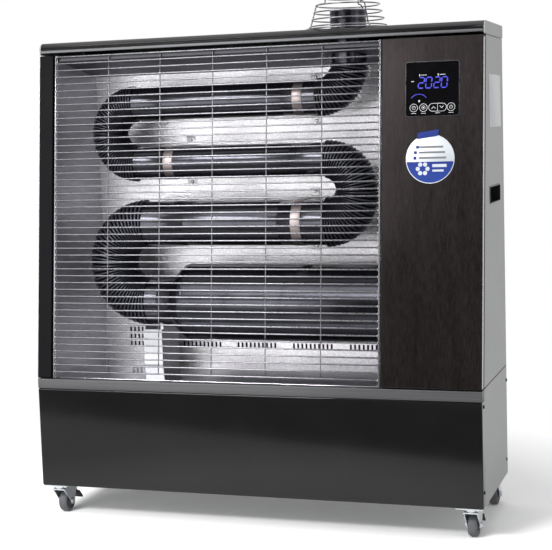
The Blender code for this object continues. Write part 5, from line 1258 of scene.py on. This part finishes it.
# %% [markdown]
# ## Strips along the folds
# Beside the front's fold, each side shows a bright strip of zinc sheet and, behind it, a black
# strip of painted shadow for the seam's gap. A black strip under each side panel paints the
# shadow in that seam. They stand out of the sheet by a fifth of a millimetre, enough to be seen.

# %% The bright edge of the front's fold and the painted gap shadow behind it
PROUD, SUNK = 0.0002, 0.0005
for name, side in (("left", -1), ("right", 1)):
    near_x, far_x = sorted((side * (HALF - SUNK), side * (HALF + PROUD)))
    # The second strip is painted shadow for the seam's gap.
    for kind, near, far, material in (("edge", 0.0016, 0.0145, zinc_sheet),
                                      ("gap_shadow", 0.0150, 0.0240, gap_shadow_black)):
        strip = rounded_block(f"fold_{kind}_{name}", (near_x, near, 0.006),
                              (far_x, far, SLOPE - 0.006), 0.0002, 2, leaning)
        dress(strip, "cabinet", material)
print("fold strips:", 4)

# %% The painted shadow strip in each side's seam
for name, side in (("left", -1), ("right", 1)):
    panel_low, panel_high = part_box(f"{name}_side_panel")
    near_x, far_x = sorted((side * (HALF - 0.0006), side * (HALF + PROUD)))
    # A black strip of painted shadow in the seam.
    seam_shadow_strip = rounded_block(f"seam_shadow_{name}", (near_x, FRONT + 0.003, panel_low.z - 0.0016),
                         (far_x, panel_high.y - 0.002, panel_low.z + 0.0008), 0.0002)
    dress(seam_shadow_strip, "cabinet", gap_shadow_black)
print("seam at:", round(panel_low.z, 4))

# %% [markdown]
# ## Rubber and plastic at the top and back
# A rubber strip lies along the lid's back edge, and the filler cap and the cable gland are
# plain mouldings, so the strip is a rounded block and the other two are softened copies.

# %% The bumper strip, the filler cap and the cable gland
bumper = rounded_block("lid_bumper", (lid_low.x + 0.05, lid_high.y - 0.020, LID_TOP - 0.0004),
                       (lid_high.x - 0.05, lid_high.y - 0.012, LID_TOP + 0.0022), 0.0009, 3)
dress(bumper, "cabinet", tyre_rubber)
softened("fuel_cap", cap_red, 0.0008, 3)
softened("cable_gland", nylon_black, 0.0005, 2)
print("bumper, cap and gland done")

# %% [markdown]
# ## The studio
# The heater stands on a white paper sweep in a dim room. Polished panels show the room, so
# the room matters as much as the lamps. Near the heater the paper is lit and takes its
# shadow, and further off it fades to plain white, so no horizon shows.

# %% Floor and world
PAPER_WIDTH, PAPER_DEPTH, PAPER_GAIN = 16.0, 7.0, 1.25
FADE_START, FADE_END = 0.62, 0.98
ROOM, WHITE = 0.40, 1.0


def shown_rays(tree):
    """1 for the rays that show the background, directly, in a mirror or in glass, else 0."""
    path = add(tree, "ShaderNodeLightPath")
    share = path.outputs["Is Camera Ray"]
    for kind in ("Is Transmission Ray", "Is Glossy Ray"):
        share = add(tree, "ShaderNodeMath", {"operation": "MAXIMUM"},
                    {0: share, 1: path.outputs[kind]})
    return share


select_nothing()
bpy.ops.mesh.primitive_plane_add(size=1, location=(0, 0, 0))
floor = bpy.context.object
floor.name = "studio_floor"
spread = Matrix.Diagonal((PAPER_WIDTH, PAPER_DEPTH, 1, 1))
floor.data.transform(Matrix.Translation((0, 0.5, 0)) @ spread)
floor_paint, tree, shader, place = start_finish("white_paper_sweep", 0.8)
dust = add(tree, "ShaderNodeTexNoise", None, {"Vector": place, "Scale": 3.0, "Detail": 4})
pulp = add(tree, "ShaderNodeMix", {"data_type": "RGBA"}, {0: dust, 6: "#e4e4e4", 7: "#e9e9e9"})
tree.links.new(pulp.outputs[2], shader.inputs["Base Color"])
near = add(tree, "ShaderNodeBsdfDiffuse", None, {"Color": (*[PAPER_GAIN] * 3, 1.0)})
far = add(tree, "ShaderNodeEmission", None, {"Color": "#ffffff", "Strength": WHITE})
away = add(tree, "ShaderNodeVectorMath", {"operation": "LENGTH"}, {0: place})
fade = add(tree, "ShaderNodeMapRange", None, {0: away.outputs["Value"], 1: FADE_START, 2: FADE_END})
shown = add(tree, "ShaderNodeMixShader", None, {0: fade, 1: near, 2: far})
paper = add(tree, "ShaderNodeMixShader", None, {0: shown_rays(tree), 1: shader, 2: shown})
tree.links.new(paper.outputs[0], tree.nodes["Material Output"].inputs["Surface"])
floor.data.materials.append(floor_paint)
world = bpy.data.worlds.new("studio_world")
bpy.context.scene.world = world
world.use_nodes = True
tree = world.node_tree
tree.nodes.clear()
room = add(tree, "ShaderNodeBackground", None, {"Color": "#ffffff", "Strength": ROOM})
white = add(tree, "ShaderNodeBackground", None, {"Color": "#ffffff", "Strength": WHITE})
mixed = add(tree, "ShaderNodeMixShader", None, {0: shown_rays(tree), 1: room, 2: white})
add(tree, "ShaderNodeOutputWorld", None, {"Surface": mixed})
print("floor and world done")

# %% [markdown]
# ## Lights and dark cards
# A long strip light above the camera's left, with a fainter one over it, draws the bright
# lines on the tubes. A broad softbox low on the left fills the embossed reflector, one
# overhead lights the lid, and one on the right lights the side. Dark cards in front give
# the gloss black something dark to mirror. They are seen by reflections only, never by the
# camera.

# %% Lights
def softbox(name, place, aim, width, height, brightness):
    """A rectangular light aimed at a point; a brightness of 1 shows as white in a mirror."""
    light = bpy.data.lights.new(name, "AREA")
    light.shape = "RECTANGLE"
    light.size = width
    light.size_y = height
    light.energy = brightness * math.pi * width * height
    way = Vector(place) - Vector(aim)
    turn = way.to_track_quat("Z", "Y").to_matrix().to_4x4()
    placed(name, light).matrix_world = Matrix.Translation(place) @ turn


softbox("strip_light", (-1.07, -2.45, 2.05), (0, 0, 0.75), 1.2, 0.45, 39)
softbox("high_strip", (-0.9, -2.1, 3.0), (0, 0, 0.6), 1.8, 0.6, 6)
softbox("reflector_fill", (-1.35, -3.2, 0.62), (0, 0, 0.62), 2.8, 1.2, 5.0)
softbox("top_softbox", (0, -0.2, 3.0), (0, 0, 0.6), 3.0, 2.0, 1.2)
softbox("side_softbox", (3.0, -0.8, 1.4), (0.3, 0, 0.6), 1.2, 2.0, 1.35)
print("lights:", 5)

# %% Dark cards
felt, tree, shader, place = start_finish("black_felt", 0.95)
fibre = add(tree, "ShaderNodeTexNoise", None, {"Vector": place, "Scale": 300})
pile = add(tree, "ShaderNodeMix", {"data_type": "RGBA"}, {0: fibre, 6: "#050505", 7: "#0b0b0c"})
tree.links.new(pile.outputs[2], shader.inputs["Base Color"])


def dark_card(name, left, right, low, high):
    """An upright card between two points on the floor, seen only by reflections."""
    mesh = bpy.data.meshes.new(name)
    corners = [(*left, low), (*right, low), (*right, high), (*left, high)]
    mesh.from_pydata(corners, [], [(0, 1, 2, 3)])
    mesh.materials.append(felt)
    piece = placed(name, mesh)
    piece.visible_camera = False
    piece.visible_diffuse = False
    piece.visible_transmission = False
    piece.visible_shadow = False
    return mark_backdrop(piece)


dark_card("floor_card", (-1.75, -1.42), (0.80, -0.70), 0.0, 0.16)
dark_card("lid_card", (-0.80, -0.32), (0.42, -0.32), 1.082, 1.30)
dark_card("panel_card", (0.165, -0.6), (0.48, -0.6), 0.22, 1.22)
dark_card("low_panel_card", (0.03, -0.6), (0.165, -0.6), 0.22, 0.66)
bpy.context.scene.view_settings.view_transform = "Standard"
print("cards:", 4)
